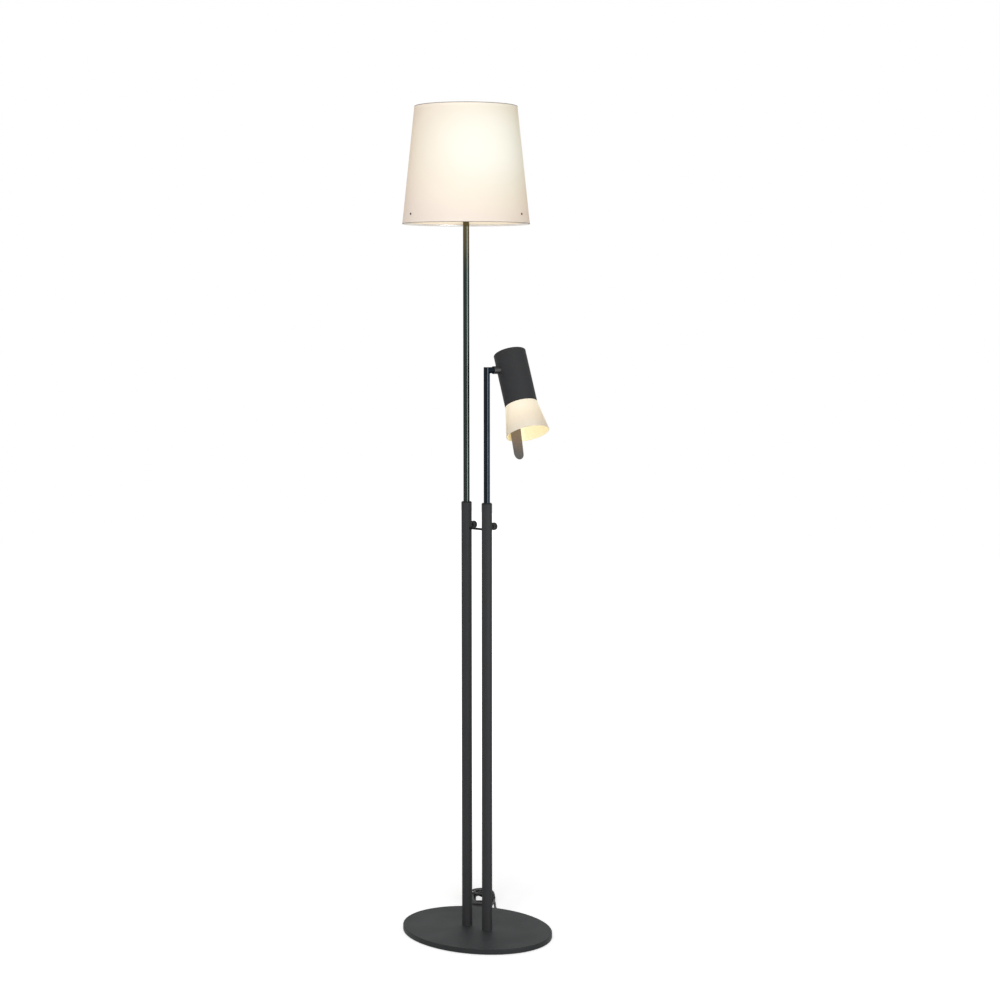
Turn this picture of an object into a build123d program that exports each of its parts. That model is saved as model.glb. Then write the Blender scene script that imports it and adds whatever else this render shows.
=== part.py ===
from build123d import *
from math import atan2, cos, degrees, radians, sin, sqrt, tan
import os

# Floor lamp with a conical drum shade on one telescopic stem and a small reading head on the other.
# Frame: origin on the floor under the middle of the base, +X from the main post to the reading post,
# +Y to the rear, +Z up. Millimetres.

# Fits
running = 0.05            # radial play of a shaft in its hole
slip = 0.3                # play between pieces that are only placed side by side
light_play = 0.1          # play of clips, nuts and pads that are set up against a neighbour

# Small fasteners and edge breaks shared by several pieces
small_head_height = 1.4
small_nut_across = 5.5
small_nut_height = 2.4
edge_break = 0.8
fine_break = 0.5

# Base
base_length = 316.0
base_width = 257.0
plate_thickness = 10.0
plate_round = 1.6
foot_height = 1.5
foot_diameter = 14.0
foot_inset = 16.0
pocket_length = 96.0
pocket_width = 46.0
pocket_corner = 8.0
pocket_web = 2.5
channel_depth = 6.6
channel_length = 102.0
channel_play = 1.5
channel_lift = 0.5
lead_lift = 0.2
supply_inset = 6.0
supply_corner = (-25.0, 14.6)
block_height = 5.0
block_length = 24.0
block_width = 12.0
block_y = 6.0
pole_spacing = 8.0
pole_row_spacing = 7.0
pole_bore = 2.6
pole_side_step = 3.0
supply_side_step = 2.0
lead_side_step = 5.0
lead_nut_step = 4.0
cover_thickness = 1.5
cover_lip = 6.0
cover_screw_diameter = 3.0
cover_screw_head = 5.5
cover_screw_grip = 4.0
cover_screw_short = 0.5

# Posts and rods
post_spacing = 52.0
post_diameter = 20.0
post_wall = 1.0
post_height = 833.5
foot_plug_height = 18.0
foot_plug_break = 1.0
stub_diameter = 10.0
stub_bore = 6.6
nut_across = 14.0
nut_height = 2.5
bush_flange = 2.5
bush_depth = 25.0
bush_chamfer = 1.6
bush_lead_in = 1.2
bush_nose_drop = 0.6
rod_diameter = 12.0
rod_wall = 1.0
rod_foot_height = 560.0
glide_height = 16.0
glide_rise = 4.0
clip_diameter = 15.0
clip_thickness = 1.0
lead_diameter = 3.0
rod_lead_diameter = 2.2
lead_bend = 2.2
rod_cap = 2.0
rod_break = 0.6

# Clamps
clamp_drop = 46.5
boss_diameter = 13.0
boss_reach = 14.0
screw_diameter = 6.0
pad_length = 3.4
knob_collar = 2.7
knob_diameter = 14.6
knob_grip = 6.5
knob_dome = 1.0
knurl_count = 24
knurl_depth = 0.5
bridge_height = 3.6
bridge_depth = 6.0
bridge_drop = 51.5

# Shade, its carrier and the main lamp
shade_bottom_height = 1377.0
shade_height = 221.0
shade_bottom_diameter = 243.0
shade_top_diameter = 195.4
shade_wall = 1.0
shade_wire = 2.4
carrier_rise = 10.0
carrier_thickness = 1.5
carrier_hub = 44.0
arm_width = 12.0
arm_bearing = 12.0
tab_height = 13.0
shade_screw_rise = 17.0
shade_screw_diameter = 3.0
shade_screw_head = 5.6
shade_screw_head_height = 1.6
shade_screw_length = 8.0
nipple_length = 24.0
nipple_bore = 7.0
holder_diameter = 39.0
holder_cap_height = 25.0
holder_skirt_height = 32.0
holder_wall = 1.8
holder_bore = 27.4
holder_shoulder = 5.0
holder_shoulder_height = 7.0
holder_shoulder_wall = 1.0
holder_floor = 4.0
holder_rim_break = 1.0
lamp_cap_diameter = 26.2
lamp_cap_height = 25.0
lamp_contact_radius = 5.0
lamp_thread_start = 6.0
lamp_thread_bevel = 4.0
lamp_thread_pitch = 3.6
lamp_thread_depth = 1.0
lamp_thread_end = 7.0
lamp_globe_diameter = 60.0
lamp_glass_height = 84.0
lamp_neck_diameter = 29.0
lamp_neck_swell = 1.5
lamp_neck_height = 14.0
switch_bearing = 312.0
switch_drop = 9.0
switch_body = (16.0, 10.0, 8.2)
switch_body_depth = 9.0
switch_spindle = 4.0
switch_knob_diameter = 10.0
switch_knob_length = 8.0
switch_knob_ribs = 12

# Reading arm and head
arm_height = 1100.6
arm_direction = 69.6
arm_reach = 57.7
arm_stub = 13.2
collar_diameter = 15.0
pivot_bore = 7.0
pivot_step = 0.5
pivot_nut = 3.0
pivot_thread_end = 2.5
saddle_thickness = 4.0
saddle_margin = 1.5
collar_cope = 3.0
head_tilt = 25.4
head_diameter = 62.4
head_wall = 1.5
head_above_pivot = 34.4
head_length = 106.8
end_cap_thickness = 2.5
end_cap_inset = 0.6
end_cap_skirt = 4.0
end_cap_skirt_wall = 1.5
long_screw_offset = 17.0
long_screw_end = 6.0
button_diameter = 8.0
button_proud = 4.0
button_travel = 2.0
push_body = (14.0, 18.0, 13.0)
push_body_corner = 1.5
push_room = 2.5
button_foot = 2.0
button_round = 1.0
bracket_drop = 20.0
bracket_thickness = 1.5
socket_diameter = 26.0
socket_length = 44.0
socket_rise = 34.0
socket_flange = 2.0
socket_shoulder = 4.0
socket_shoulder_height = 5.0
socket_play = 0.4
candle_cap_diameter = 13.6
candle_cap_length = 22.0
candle_diameter = 35.0
candle_length = 78.0
candle_belly = 0.42
diffuser_length = 59.4
diffuser_mouth_diameter = 83.2
diffuser_wall = 2.0
diffuser_neck = 9.0
handle_bearing = 104.6
handle_offset = 32.0
handle_lean = 0.11
handle_width = 27.0
handle_tip_width = 24.0
handle_stem_width = 11.0
handle_thickness = 2.4
handle_beyond = 38.5
handle_flare_top = 46.0
handle_flare_end = 20.0
handle_overlap = 18.0
handle_screw_levels = (5.0, 13.0)
tab_clearance = 1.5
handle_screw_diameter = 3.0
handle_screw_head = 5.2
handle_screw_end = 1.5

# Cord
cord_diameter = 4.5
cord_exit_x = -62.0
gland_length = 9.0
gland_proud = 4.0
gland_wall = 1.2
hank_centre = (-128.0, 160.0)
hank_bearing = 130.9
hank_straight = 62.0
hank_end_radius = 17.5
hank_band_width = 15.0
hank_band_height = 10.0
hank_round = 3.0
plug_length = 30.0
plug_width = 35.3
plug_thickness = 13.7
plug_taper = 15.0
plug_round = 1.5
plug_bite = 3.0
pin_diameter = 4.0
pin_length = 19.0
pin_spacing = 18.6

# Worked out from the above
plate_top = foot_height + plate_thickness
post_top = plate_top + post_height
sleeve_top = post_top + bush_flange
post_bore = post_diameter - 2 * post_wall
rod_bore = rod_diameter - 2 * rod_wall
pocket_floor = foot_height + cover_thickness
pocket_top = plate_top - pocket_web
main_x = -post_spacing / 2
reading_x = post_spacing / 2
posts = {"main": main_x, "reading": reading_x}
clamp_height = sleeve_top - clamp_drop
bridge_level = sleeve_top - bridge_drop
shade_top_height = shade_bottom_height + shade_height
carrier_height = shade_bottom_height + carrier_rise
holder_bottom = carrier_height + carrier_thickness
holder_middle = holder_bottom + holder_cap_height
holder_top = holder_middle + holder_skirt_height
shade_slope = (shade_bottom_diameter - shade_top_diameter) / 2 / shade_height

# The reading head's own frame: x along the arm, z up the head's axis, origin on the pivot
arm_x = Vector(cos(radians(arm_direction)), sin(radians(arm_direction)), 0)
tilt_side = Vector(sin(radians(arm_direction)), -cos(radians(arm_direction)), 0)
head_up = Vector(0, 0, 1) * cos(radians(head_tilt)) - tilt_side * sin(radians(head_tilt))
arm_root = Vector(reading_x, 0, arm_height)
pivot = arm_root + arm_x * arm_reach
head = Plane(origin=pivot, x_dir=arm_x, z_dir=head_up)
head_section = Plane(origin=pivot, x_dir=arm_x, z_dir=head.y_dir * -1)
head_axis = Axis(pivot, head_up)
arm_plane = Plane(origin=arm_root, x_dir=tilt_side, z_dir=arm_x)
head_radius = head_diameter / 2
head_bottom = head_above_pivot - head_length
mouth_level = head_bottom - diffuser_length

os.makedirs("parts", exist_ok=True)


def save(piece, name):
    """Labels a finished piece and writes it to its own file."""
    piece.part.label = name
    export_step(piece.part, f"parts/{name}.step")


def upright(x, z):
    """A level sketch plane over one of the posts."""
    return Plane(origin=(x, 0, z))


def post_section(x):
    """An upright sketch plane through a post's axis: x is the radius, y the height."""
    return Plane(origin=(x, 0, 0), x_dir=(1, 0, 0), z_dir=(0, -1, 0))


def post_axis(x):
    """The axis of a post and of the rod inside it."""
    return Axis((x, 0, 0), (0, 0, 1))


def tube(plane, outer, inner, length):
    """A straight tube that stands on a plane."""
    with BuildPart() as piece:
        with BuildSketch(plane):
            Circle(outer / 2)
            Circle(inner / 2, mode=Mode.SUBTRACT)
        extrude(amount=length)
    return piece


def pin(plane, diameter, length):
    """A plain round rod that stands on a plane."""
    with BuildPart() as piece:
        with BuildSketch(plane):
            Circle(diameter / 2)
        extrude(amount=length)
    return piece


def turned(plane, axis, points):
    """A solid of revolution from the outline of half its section."""
    with BuildPart() as piece:
        with BuildSketch(plane):
            with BuildLine():
                Polyline(*points, close=True)
            make_face()
        revolve(axis=axis)
    return piece


def corner_radii(points, share=0.45):
    """Bend radii for a cord's inner route points, from the shorter run at each of them."""
    places = [Vector(*point) for point in points]
    radii = []
    for before, here, after in zip(places, places[1:], places[2:]):
        turn = radians((here - before).get_angle(after - here))
        radii.append(share * min((here - before).length, (after - here).length) / tan(turn / 2))
    return radii


def cord(points, diameter):
    """A round cord through a list of points, with tangent bends."""
    start = Vector(*points[0])
    with BuildPart() as piece:
        with BuildLine() as route:
            FilletPolyline(*points, radius=corner_radii(points))
        with BuildSketch(Plane(origin=start, z_dir=Vector(*points[1]) - start)):
            Circle(diameter / 2)
        sweep(path=route.wires()[0])
    return piece


# ---------------------------------------------------------------- base

# Where the cord leaves the rear rim, and the way it points there
exit_y = base_width / 2 * sqrt(1 - (2 * cord_exit_x / base_length) ** 2)
exit_way = Vector(cord_exit_x / base_length ** 2, exit_y / base_width ** 2, 0).normalized()
channel_top = foot_height + channel_depth
channel_width = cord_diameter + channel_play
cord_level = foot_height + channel_lift + cord_diameter / 2
channel_start = Vector(cord_exit_x, exit_y, foot_height) - exit_way * channel_length
channel_plane = Plane(origin=channel_start, x_dir=exit_way, z_dir=(0, 0, 1))

# Base plate: a heavy oval steel plate with a wiring pocket and a cord channel in its underside.
# The cover lies in a step round the pocket; its screws go into blind holes in that step.
cover_screw_x = pocket_length + cover_lip
cover_screw_y = pocket_width / 2
with BuildPart() as base_plate:
    with BuildSketch(Plane.XY.offset(foot_height)):
        Ellipse(base_length / 2, base_width / 2)
    extrude(amount=plate_thickness)
    fillet(base_plate.edges().sort_by(Axis.Z)[-1], plate_round)
    chamfer(base_plate.edges().sort_by(Axis.Z)[0], plate_round / 3)
    with BuildSketch(Plane.XY.offset(foot_height)):
        RectangleRounded(pocket_length + 2 * cover_lip, pocket_width + 2 * cover_lip, pocket_corner)
    extrude(amount=cover_thickness, mode=Mode.SUBTRACT)
    with BuildSketch(Plane.XY.offset(pocket_floor)):
        RectangleRounded(pocket_length, pocket_width, pocket_corner)
    extrude(amount=pocket_top - pocket_floor, mode=Mode.SUBTRACT)
    with BuildSketch(channel_plane):
        Rectangle(channel_length + plate_thickness, channel_width, align=(Align.MIN, Align.CENTER))
    extrude(amount=channel_top - foot_height, mode=Mode.SUBTRACT)
    with BuildSketch(Plane.XY.offset(pocket_top)):
        with Locations((main_x, 0), (reading_x, 0)):
            Circle(stub_diameter / 2 + running)
    extrude(amount=pocket_web, mode=Mode.SUBTRACT)
    with BuildSketch(Plane.XY.offset(pocket_floor)):
        with GridLocations(cover_screw_x, cover_screw_y, 2, 2):
            Circle(cover_screw_diameter / 2)
    extrude(amount=cover_screw_grip, mode=Mode.SUBTRACT)
save(base_plate, "base_plate")

# Pads: six felt discs round the rim, which show as small nubs under the plate.
foot_ring_x = base_length / 2 - foot_inset
foot_ring_y = base_width / 2 - foot_inset
foot_places = [
    (foot_ring_x * cos(radians(angle)), foot_ring_y * sin(radians(angle)))
    for angle in (-90, -42, 42, 90, 138, 222)
]
with BuildPart() as base_feet:
    with BuildSketch():
        with Locations(*foot_places):
            Circle(foot_diameter / 2)
    extrude(amount=foot_height)
save(base_feet, "base_feet")

# Cover: a thin plate flush with the underside, held by four countersunk screws.
screw_cone = (cover_screw_head / 2, cover_screw_diameter / 2, (cover_screw_head - cover_screw_diameter) / 2)
screw_seat = (Align.CENTER, Align.CENTER, Align.MIN)
with BuildPart() as base_cover:
    with BuildSketch(Plane.XY.offset(foot_height)):
        RectangleRounded(
            pocket_length + 2 * cover_lip - 2 * slip,
            pocket_width + 2 * cover_lip - 2 * slip,
            pocket_corner - slip,
        )
        with GridLocations(cover_screw_x, cover_screw_y, 2, 2):
            Circle(cover_screw_diameter / 2, mode=Mode.SUBTRACT)
    extrude(amount=cover_thickness)
    with Locations(Plane.XY.offset(foot_height)):
        with GridLocations(cover_screw_x, cover_screw_y, 2, 2):
            Cone(*screw_cone, align=screw_seat, mode=Mode.SUBTRACT)
save(base_cover, "base_cover")

with BuildPart() as cover_screws:
    with BuildSketch(Plane.XY.offset(foot_height)):
        with GridLocations(cover_screw_x, cover_screw_y, 2, 2):
            Circle(cover_screw_diameter / 2)
    extrude(amount=cover_thickness + cover_screw_grip - cover_screw_short)
    with Locations(Plane.XY.offset(foot_height)):
        with GridLocations(cover_screw_x, cover_screw_y, 2, 2):
            Cone(*screw_cone, align=screw_seat)
save(cover_screws, "cover_screws")

# Terminal block: three poles under the pocket's roof, between the two post nuts.
lead_level = pocket_floor + lead_lift + lead_diameter / 2
with BuildPart() as terminal_block:
    with BuildSketch(Plane(origin=(0, block_y, pocket_top - block_height))):
        Rectangle(block_length, block_width)
        with GridLocations(pole_spacing, pole_row_spacing, 3, 2):
            Circle(pole_bore / 2, mode=Mode.SUBTRACT)
    extrude(amount=block_height)
    fillet(terminal_block.edges().filter_by(Axis.Z).group_by(SortBy.LENGTH)[0], edge_break)
save(terminal_block, "terminal_block")

# Strain relief: a moulded clamp that fills the channel at the rim, with a stepped nose outside.
gland_outer = Vector(cord_exit_x, exit_y, cord_level) + exit_way * gland_proud
gland_inner = gland_outer - exit_way * (gland_proud + gland_length)
with BuildPart() as strain_relief:
    with BuildSketch(Plane(origin=gland_inner, x_dir=(0, 0, 1), z_dir=exit_way)):
        with Locations(((channel_top + foot_height) / 2 - cord_level, 0)):
            Rectangle(channel_top - foot_height, channel_width)
        Circle(cord_diameter / 2, mode=Mode.SUBTRACT)
    extrude(amount=gland_length)
    with BuildSketch(Plane(origin=gland_inner + exit_way * gland_length, z_dir=exit_way)):
        Circle(cord_diameter / 2 + gland_wall)
        Circle(cord_diameter / 2, mode=Mode.SUBTRACT)
    extrude(amount=gland_proud)
save(strain_relief, "strain_relief")

# Supply lead: the cord's inner end, from the strain relief along the channel to the terminal block.
supply_level = pocket_floor + lead_lift + cord_diameter / 2
channel_inner_end = Vector(channel_start.X, channel_start.Y, supply_level) + exit_way * supply_inset
supply_points = [
    tuple(gland_inner),
    tuple(channel_inner_end),
    (*supply_corner, supply_level),
    (-block_length / 2, block_y + supply_side_step, supply_level),
]

# Post leads: two thinner leads from the block, under the nuts and up through the post feet.
foot_top = plate_top + foot_plug_height
base_leads = [cord(supply_points, cord_diameter)]
for x in posts.values():
    side = x / abs(x)
    post_lead_points = [
        (side * block_length / 2, block_y - pole_side_step, lead_level),
        (side * (block_length / 2 + lead_side_step), block_y - pole_side_step, lead_level),
        (x - side * lead_nut_step, 0, lead_level),
        (x, 0, lead_level),
        (x, 0, foot_top),
    ]
    base_leads.append(cord(post_lead_points, lead_diameter))
with BuildPart() as leads:
    for piece in base_leads:
        add(piece.part)
save(leads, "base_leads")

# ---------------------------------------------------------------- posts

# Each post: a plain tube with a hole at the rear for the clamp screw.
for name, x in posts.items():
    with BuildPart() as post_tube:
        with BuildSketch(upright(x, plate_top)):
            Circle(post_diameter / 2)
            Circle(post_bore / 2, mode=Mode.SUBTRACT)
        extrude(amount=post_height)
        with BuildSketch(Plane(origin=(x, 0, clamp_height), z_dir=(0, 1, 0))):
            Circle(screw_diameter / 2 + running)
        extrude(amount=post_diameter, mode=Mode.SUBTRACT)
    save(post_tube, f"{name}_post_tube")

# Post feet: plugs pressed into the tubes, each with a hollow threaded stub through the plate.
stub_bottom = pocket_top - nut_height
foot_outline = [
    (stub_bore / 2, stub_bottom),
    (stub_diameter / 2, stub_bottom),
    (stub_diameter / 2, plate_top),
    (post_bore / 2, plate_top),
    (post_bore / 2, plate_top + foot_plug_height - foot_plug_break),
    (post_bore / 2 - foot_plug_break, plate_top + foot_plug_height),
    (stub_bore / 2, plate_top + foot_plug_height),
]
with BuildPart() as post_feet:
    for x in posts.values():
        with BuildSketch(post_section(x)):
            with BuildLine():
                Polyline(*foot_outline, close=True)
            make_face()
        revolve(axis=post_axis(x))
save(post_feet, "post_feet")

# Guide bushes: moulded sleeves in the tops of the tubes; their bevelled flange shows above the tube.
bush_bore = rod_diameter / 2 + running
bush_outline = [
    (bush_bore, post_top - bush_depth),
    (post_bore / 2 - bush_nose_drop, post_top - bush_depth),
    (post_bore / 2, post_top - bush_depth + bush_lead_in),
    (post_bore / 2, post_top),
    (post_diameter / 2, post_top),
    (post_diameter / 2, sleeve_top - bush_chamfer),
    (post_diameter / 2 - bush_chamfer, sleeve_top),
    (bush_bore, sleeve_top),
]
with BuildPart() as guide_bushes:
    for x in posts.values():
        with BuildSketch(post_section(x)):
            with BuildLine():
                Polyline(*bush_outline, close=True)
            make_face()
        revolve(axis=post_axis(x))
save(guide_bushes, "guide_bushes")

with BuildPart() as post_nuts:
    with BuildSketch(Plane.XY.offset(pocket_top - nut_height)):
        with Locations((main_x, 0), (reading_x, 0)):
            RegularPolygon(nut_across / 2, 6, major_radius=False)
            Circle(stub_diameter / 2, mode=Mode.SUBTRACT)
    extrude(amount=nut_height)
save(post_nuts, "post_nuts")

# Bridge: a thin bar coped to both tubes that keeps them parallel under load.
with BuildPart() as bridge_bar:
    with BuildSketch(Plane.XY.offset(bridge_level - bridge_height / 2)):
        Rectangle(post_spacing, bridge_depth)
        with Locations((main_x, 0), (reading_x, 0)):
            Circle(post_diameter / 2, mode=Mode.SUBTRACT)
    extrude(amount=bridge_height)
    fillet(bridge_bar.edges().filter_by(Axis.X), edge_break)
save(bridge_bar, "bridge_bar")

# ---------------------------------------------------------------- clamps

# Clamp bosses: round nuts welded to the rear of the tubes, coped to them.
with BuildPart() as clamp_bosses:
    with BuildSketch(Plane(origin=(0, 0, clamp_height), x_dir=(-1, 0, 0), z_dir=(0, 1, 0))):
        with Locations((main_x, 0), (reading_x, 0)):
            Circle(boss_diameter / 2)
            Circle(screw_diameter / 2 + running, mode=Mode.SUBTRACT)
    extrude(amount=boss_reach)
    with BuildSketch(Plane.XY.offset(clamp_height - boss_diameter)):
        with Locations((main_x, 0), (reading_x, 0)):
            Circle(post_diameter / 2)
    extrude(amount=2 * boss_diameter, mode=Mode.SUBTRACT)
save(clamp_bosses, "clamp_bosses")

pad_start = rod_diameter / 2 + light_play
pad_end = pad_start + pad_length
collar_start = boss_reach + slip
grip_start = collar_start + knob_collar
grip_end = grip_start + knob_grip
for name, x in posts.items():
    clamp_plane = Plane(origin=(x, 0, clamp_height), x_dir=(1, 0, 0), z_dir=(0, 1, 0))
    clamp_axis = Axis((x, 0, clamp_height), (0, 1, 0))
    clamp_section = Plane(origin=(x, 0, clamp_height), x_dir=(0, 0, 1), z_dir=(-1, 0, 0))

    # Pressure pads: brass discs that ride on the screws' tips and press on the rods.
    with BuildPart() as clamp_pad:
        with BuildSketch(clamp_plane.offset(pad_start)):
            Circle(screw_diameter / 2 - running)
        extrude(amount=pad_length)
        chamfer(clamp_pad.edges().sort_by(Axis.Y)[0], fine_break)
    save(clamp_pad, f"{name}_clamp_pad")

    # Clamp knobs: a thread, a smooth collar and a straight-knurled, domed grip.
    knob_outline = [
        (0, pad_end),
        (screw_diameter / 2, pad_end),
        (screw_diameter / 2, collar_start),
        (boss_diameter / 2, collar_start),
        (boss_diameter / 2, grip_start),
        (knob_diameter / 2 - fine_break, grip_start),
        (knob_diameter / 2, grip_start + fine_break),
        (knob_diameter / 2, grip_end - edge_break),
        (knob_diameter / 2 - edge_break, grip_end),
        (0, grip_end + knob_dome),
    ]
    with BuildPart() as clamp_knob:
        with BuildSketch(clamp_section):
            with BuildLine():
                Polyline(*knob_outline, close=True)
            make_face()
        revolve(axis=clamp_axis)
        with BuildSketch(clamp_plane.offset(grip_start)):
            with PolarLocations(knob_diameter / 2, knurl_count):
                Rectangle(2 * knurl_depth, 2 * knurl_depth, rotation=45)
        extrude(amount=knob_grip, mode=Mode.SUBTRACT)
    save(clamp_knob, f"{name}_clamp_knob")

# ---------------------------------------------------------------- rods inside the posts

rod_tops = {"main": carrier_height, "reading": arm_height + rod_diameter / 2}
for name, x in posts.items():
    # Glides: nylon rings near the rods' lower ends that slide in the tubes, with a clip on each side.
    glide_bottom = rod_foot_height + glide_rise
    glide_bore = rod_diameter / 2 + running
    glide_rim = post_bore / 2 - running
    glide_outline = [
        (glide_bore, glide_bottom),
        (glide_rim - edge_break, glide_bottom),
        (glide_rim, glide_bottom + edge_break),
        (glide_rim, glide_bottom + glide_height - edge_break),
        (glide_rim - edge_break, glide_bottom + glide_height),
        (glide_bore, glide_bottom + glide_height),
    ]
    glide = turned(post_section(x), post_axis(x), glide_outline)
    save(glide, f"{name}_glide")

    with BuildPart() as rod_clips:
        for level in (glide_bottom - light_play - clip_thickness, glide_bottom + glide_height + light_play):
            with BuildSketch(upright(x, level)):
                Circle(clip_diameter / 2)
                Circle(rod_diameter / 2, mode=Mode.SUBTRACT)
            extrude(amount=clip_thickness)
    save(rod_clips, f"{name}_rod_clips")

    # Lower leads: the slack run in each post, from the post's foot up to the rod.
    lower_lead = pin(upright(x, foot_top), lead_diameter, rod_foot_height - foot_top)
    save(lower_lead, f"{name}_lower_lead")

# ---------------------------------------------------------------- main stem: rod, carrier and shade

main_section = post_section(main_x)
main_axis = post_axis(main_x)

# Rod: a plain tube with a hollow threaded nipple brazed into its top, on which the lampholder stands.
nipple_start = carrier_height - nipple_length / 2
with BuildPart() as main_rod:
    with BuildSketch(upright(main_x, rod_foot_height)):
        Circle(rod_diameter / 2)
        Circle(rod_bore / 2, mode=Mode.SUBTRACT)
    extrude(amount=carrier_height - rod_foot_height)
    with BuildSketch(upright(main_x, nipple_start)):
        Circle(rod_bore / 2)
        Circle(nipple_bore / 2, mode=Mode.SUBTRACT)
    extrude(amount=nipple_length)
save(main_rod, "main_rod")

rod_lead_length = nipple_start + nipple_length - rod_foot_height
main_rod_lead = pin(upright(main_x, rod_foot_height), lead_diameter, rod_lead_length)
save(main_rod_lead, "main_rod_lead")


def shade_radius(rise):
    """Outer radius of the conical shade at a height above its lower rim."""
    return shade_bottom_diameter / 2 - shade_slope * rise


# Places of the three shade screws: planes on the shade's outside, facing outwards
shade_lean = degrees(atan2(shade_slope, 1))
screw_planes = []
for turn in (0, 120, 240):
    bearing = radians(arm_bearing + turn)
    outwards = Vector(cos(bearing), sin(bearing), 0)
    spot = Vector(main_x, 0, shade_bottom_height + shade_screw_rise) + outwards * shade_radius(shade_screw_rise)
    facing = outwards * cos(radians(shade_lean)) + Vector(0, 0, sin(radians(shade_lean)))
    screw_planes.append(Plane(origin=spot, x_dir=Vector(0, 0, 1).cross(outwards), z_dir=facing))
tab_depth = shade_wall + slip
tab_foot = shade_radius(carrier_rise) - tab_depth

# Shade: a plain conical drum, open at both ends.
shade_outline = [
    (shade_radius(0) - shade_wall, shade_bottom_height),
    (shade_radius(0), shade_bottom_height),
    (shade_radius(shade_height), shade_top_height),
    (shade_radius(shade_height) - shade_wall, shade_top_height),
]
with BuildPart() as main_shade:
    with BuildSketch(main_section):
        with BuildLine():
            Polyline(*shade_outline, close=True)
        make_face()
    revolve(axis=main_axis)
    for plane in screw_planes:
        with BuildSketch(plane):
            Circle(shade_screw_diameter / 2)
        extrude(amount=4 * shade_wall, both=True, mode=Mode.SUBTRACT)
save(main_shade, "main_shade")

# Wire rings: round steel wire that lies inside the shade's two rims and keeps them round.
with BuildPart() as shade_rings:
    for rise in (shade_wire, shade_height - shade_wire):
        ring_radius = shade_radius(rise) - shade_wall - shade_wire / 2 - running
        with BuildSketch(main_section):
            with Locations((ring_radius, shade_bottom_height + rise)):
                Circle(shade_wire / 2)
        revolve(axis=main_axis)
save(shade_rings, "shade_rings")

# Carrier: a hub and three flat arms, each bent up at its end to lie against the shade's slope.
with BuildPart() as shade_carrier:
    with BuildSketch(upright(main_x, carrier_height)):
        Circle(carrier_hub / 2)
        for plane in screw_planes:
            bearing = degrees(atan2(plane.z_dir.Y, plane.z_dir.X))
            with Locations(Location((0, 0), bearing)):
                Rectangle(tab_foot - carrier_thickness / 2, arm_width, align=(Align.MIN, Align.CENTER))
        Circle(rod_bore / 2 + running, mode=Mode.SUBTRACT)
    extrude(amount=carrier_thickness)
    for plane in screw_planes:
        with BuildSketch(plane.offset(-tab_depth)):
            with Locations((0, carrier_rise - shade_screw_rise)):
                Rectangle(arm_width, tab_height, align=(Align.CENTER, Align.MIN))
            Circle(shade_screw_diameter / 2, mode=Mode.SUBTRACT)
        extrude(amount=-carrier_thickness)
save(shade_carrier, "shade_carrier")

# Shade screws: small dark pan-head screws from outside, with a nut on each inside the tab.
with BuildPart() as shade_screws:
    for plane in screw_planes:
        with BuildSketch(plane):
            Circle(shade_screw_head / 2)
        extrude(amount=shade_screw_head_height)
        with BuildSketch(plane.offset(-shade_screw_length)):
            Circle(shade_screw_diameter / 2 - running)
        extrude(amount=shade_screw_length)
save(shade_screws, "shade_screws")

with BuildPart() as shade_nuts:
    for plane in screw_planes:
        with BuildSketch(plane.offset(-tab_depth - carrier_thickness)):
            RegularPolygon(small_nut_across / 2, 6, major_radius=False)
            Circle(shade_screw_diameter / 2 - running, mode=Mode.SUBTRACT)
        extrude(amount=-small_nut_height)
save(shade_nuts, "shade_nuts")

# ---------------------------------------------------------------- main lampholder and lamp

with BuildPart() as nipple_nut:
    with BuildSketch(upright(main_x, holder_bottom + holder_wall)):
        RegularPolygon(nut_across / 2, 6, major_radius=False)
        Circle(rod_bore / 2, mode=Mode.SUBTRACT)
    extrude(amount=nut_height)
save(nipple_nut, "nipple_nut")

# Switch axis: level, through the side of the lampholder's cap
switch_way = Vector(cos(radians(switch_bearing)), sin(radians(switch_bearing)), 0)
switch_level = holder_middle - switch_drop
switch_origin = Vector(main_x, 0, switch_level)
switch_plane = Plane(origin=switch_origin, x_dir=(0, 0, 1), z_dir=switch_way)
switch_section = Plane(origin=switch_origin, x_dir=(0, 0, 1), z_dir=switch_way.cross(Vector(0, 0, 1)) * -1)

# Lampholder cap: a domed cup that the nipple's nut holds down; the switch spindle leaves its side.
holder_radius = holder_diameter / 2
with BuildPart() as holder_cap:
    with BuildSketch(main_section):
        with BuildLine():
            Polyline(
                (rod_bore / 2 + running, holder_bottom),
                (holder_radius - holder_shoulder, holder_bottom),
                (holder_radius, holder_bottom + holder_shoulder_height),
                (holder_radius, holder_middle),
                (holder_radius - holder_wall, holder_middle),
                (holder_radius - holder_wall, holder_bottom + holder_shoulder_height + holder_shoulder_wall),
                (holder_radius - holder_shoulder - holder_shoulder_wall, holder_bottom + holder_wall),
                (rod_bore / 2 + running, holder_bottom + holder_wall),
                close=True,
            )
        make_face()
    revolve(axis=main_axis)
    with BuildSketch(switch_plane):
        Circle(switch_spindle / 2 + running)
    extrude(amount=holder_diameter, mode=Mode.SUBTRACT)
save(holder_cap, "holder_cap")

# Lampholder skirt: a threaded sleeve that takes the screw cap of the lamp.
skirt_floor = holder_middle + holder_floor
skirt_outline = [
    (0, holder_middle),
    (holder_radius, holder_middle),
    (holder_radius, holder_top - holder_rim_break),
    (holder_radius - holder_rim_break, holder_top),
    (holder_bore / 2, holder_top),
    (holder_bore / 2, skirt_floor),
    (0, skirt_floor),
]
holder_skirt = turned(main_section, main_axis, skirt_outline)
save(holder_skirt, "holder_skirt")

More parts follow.
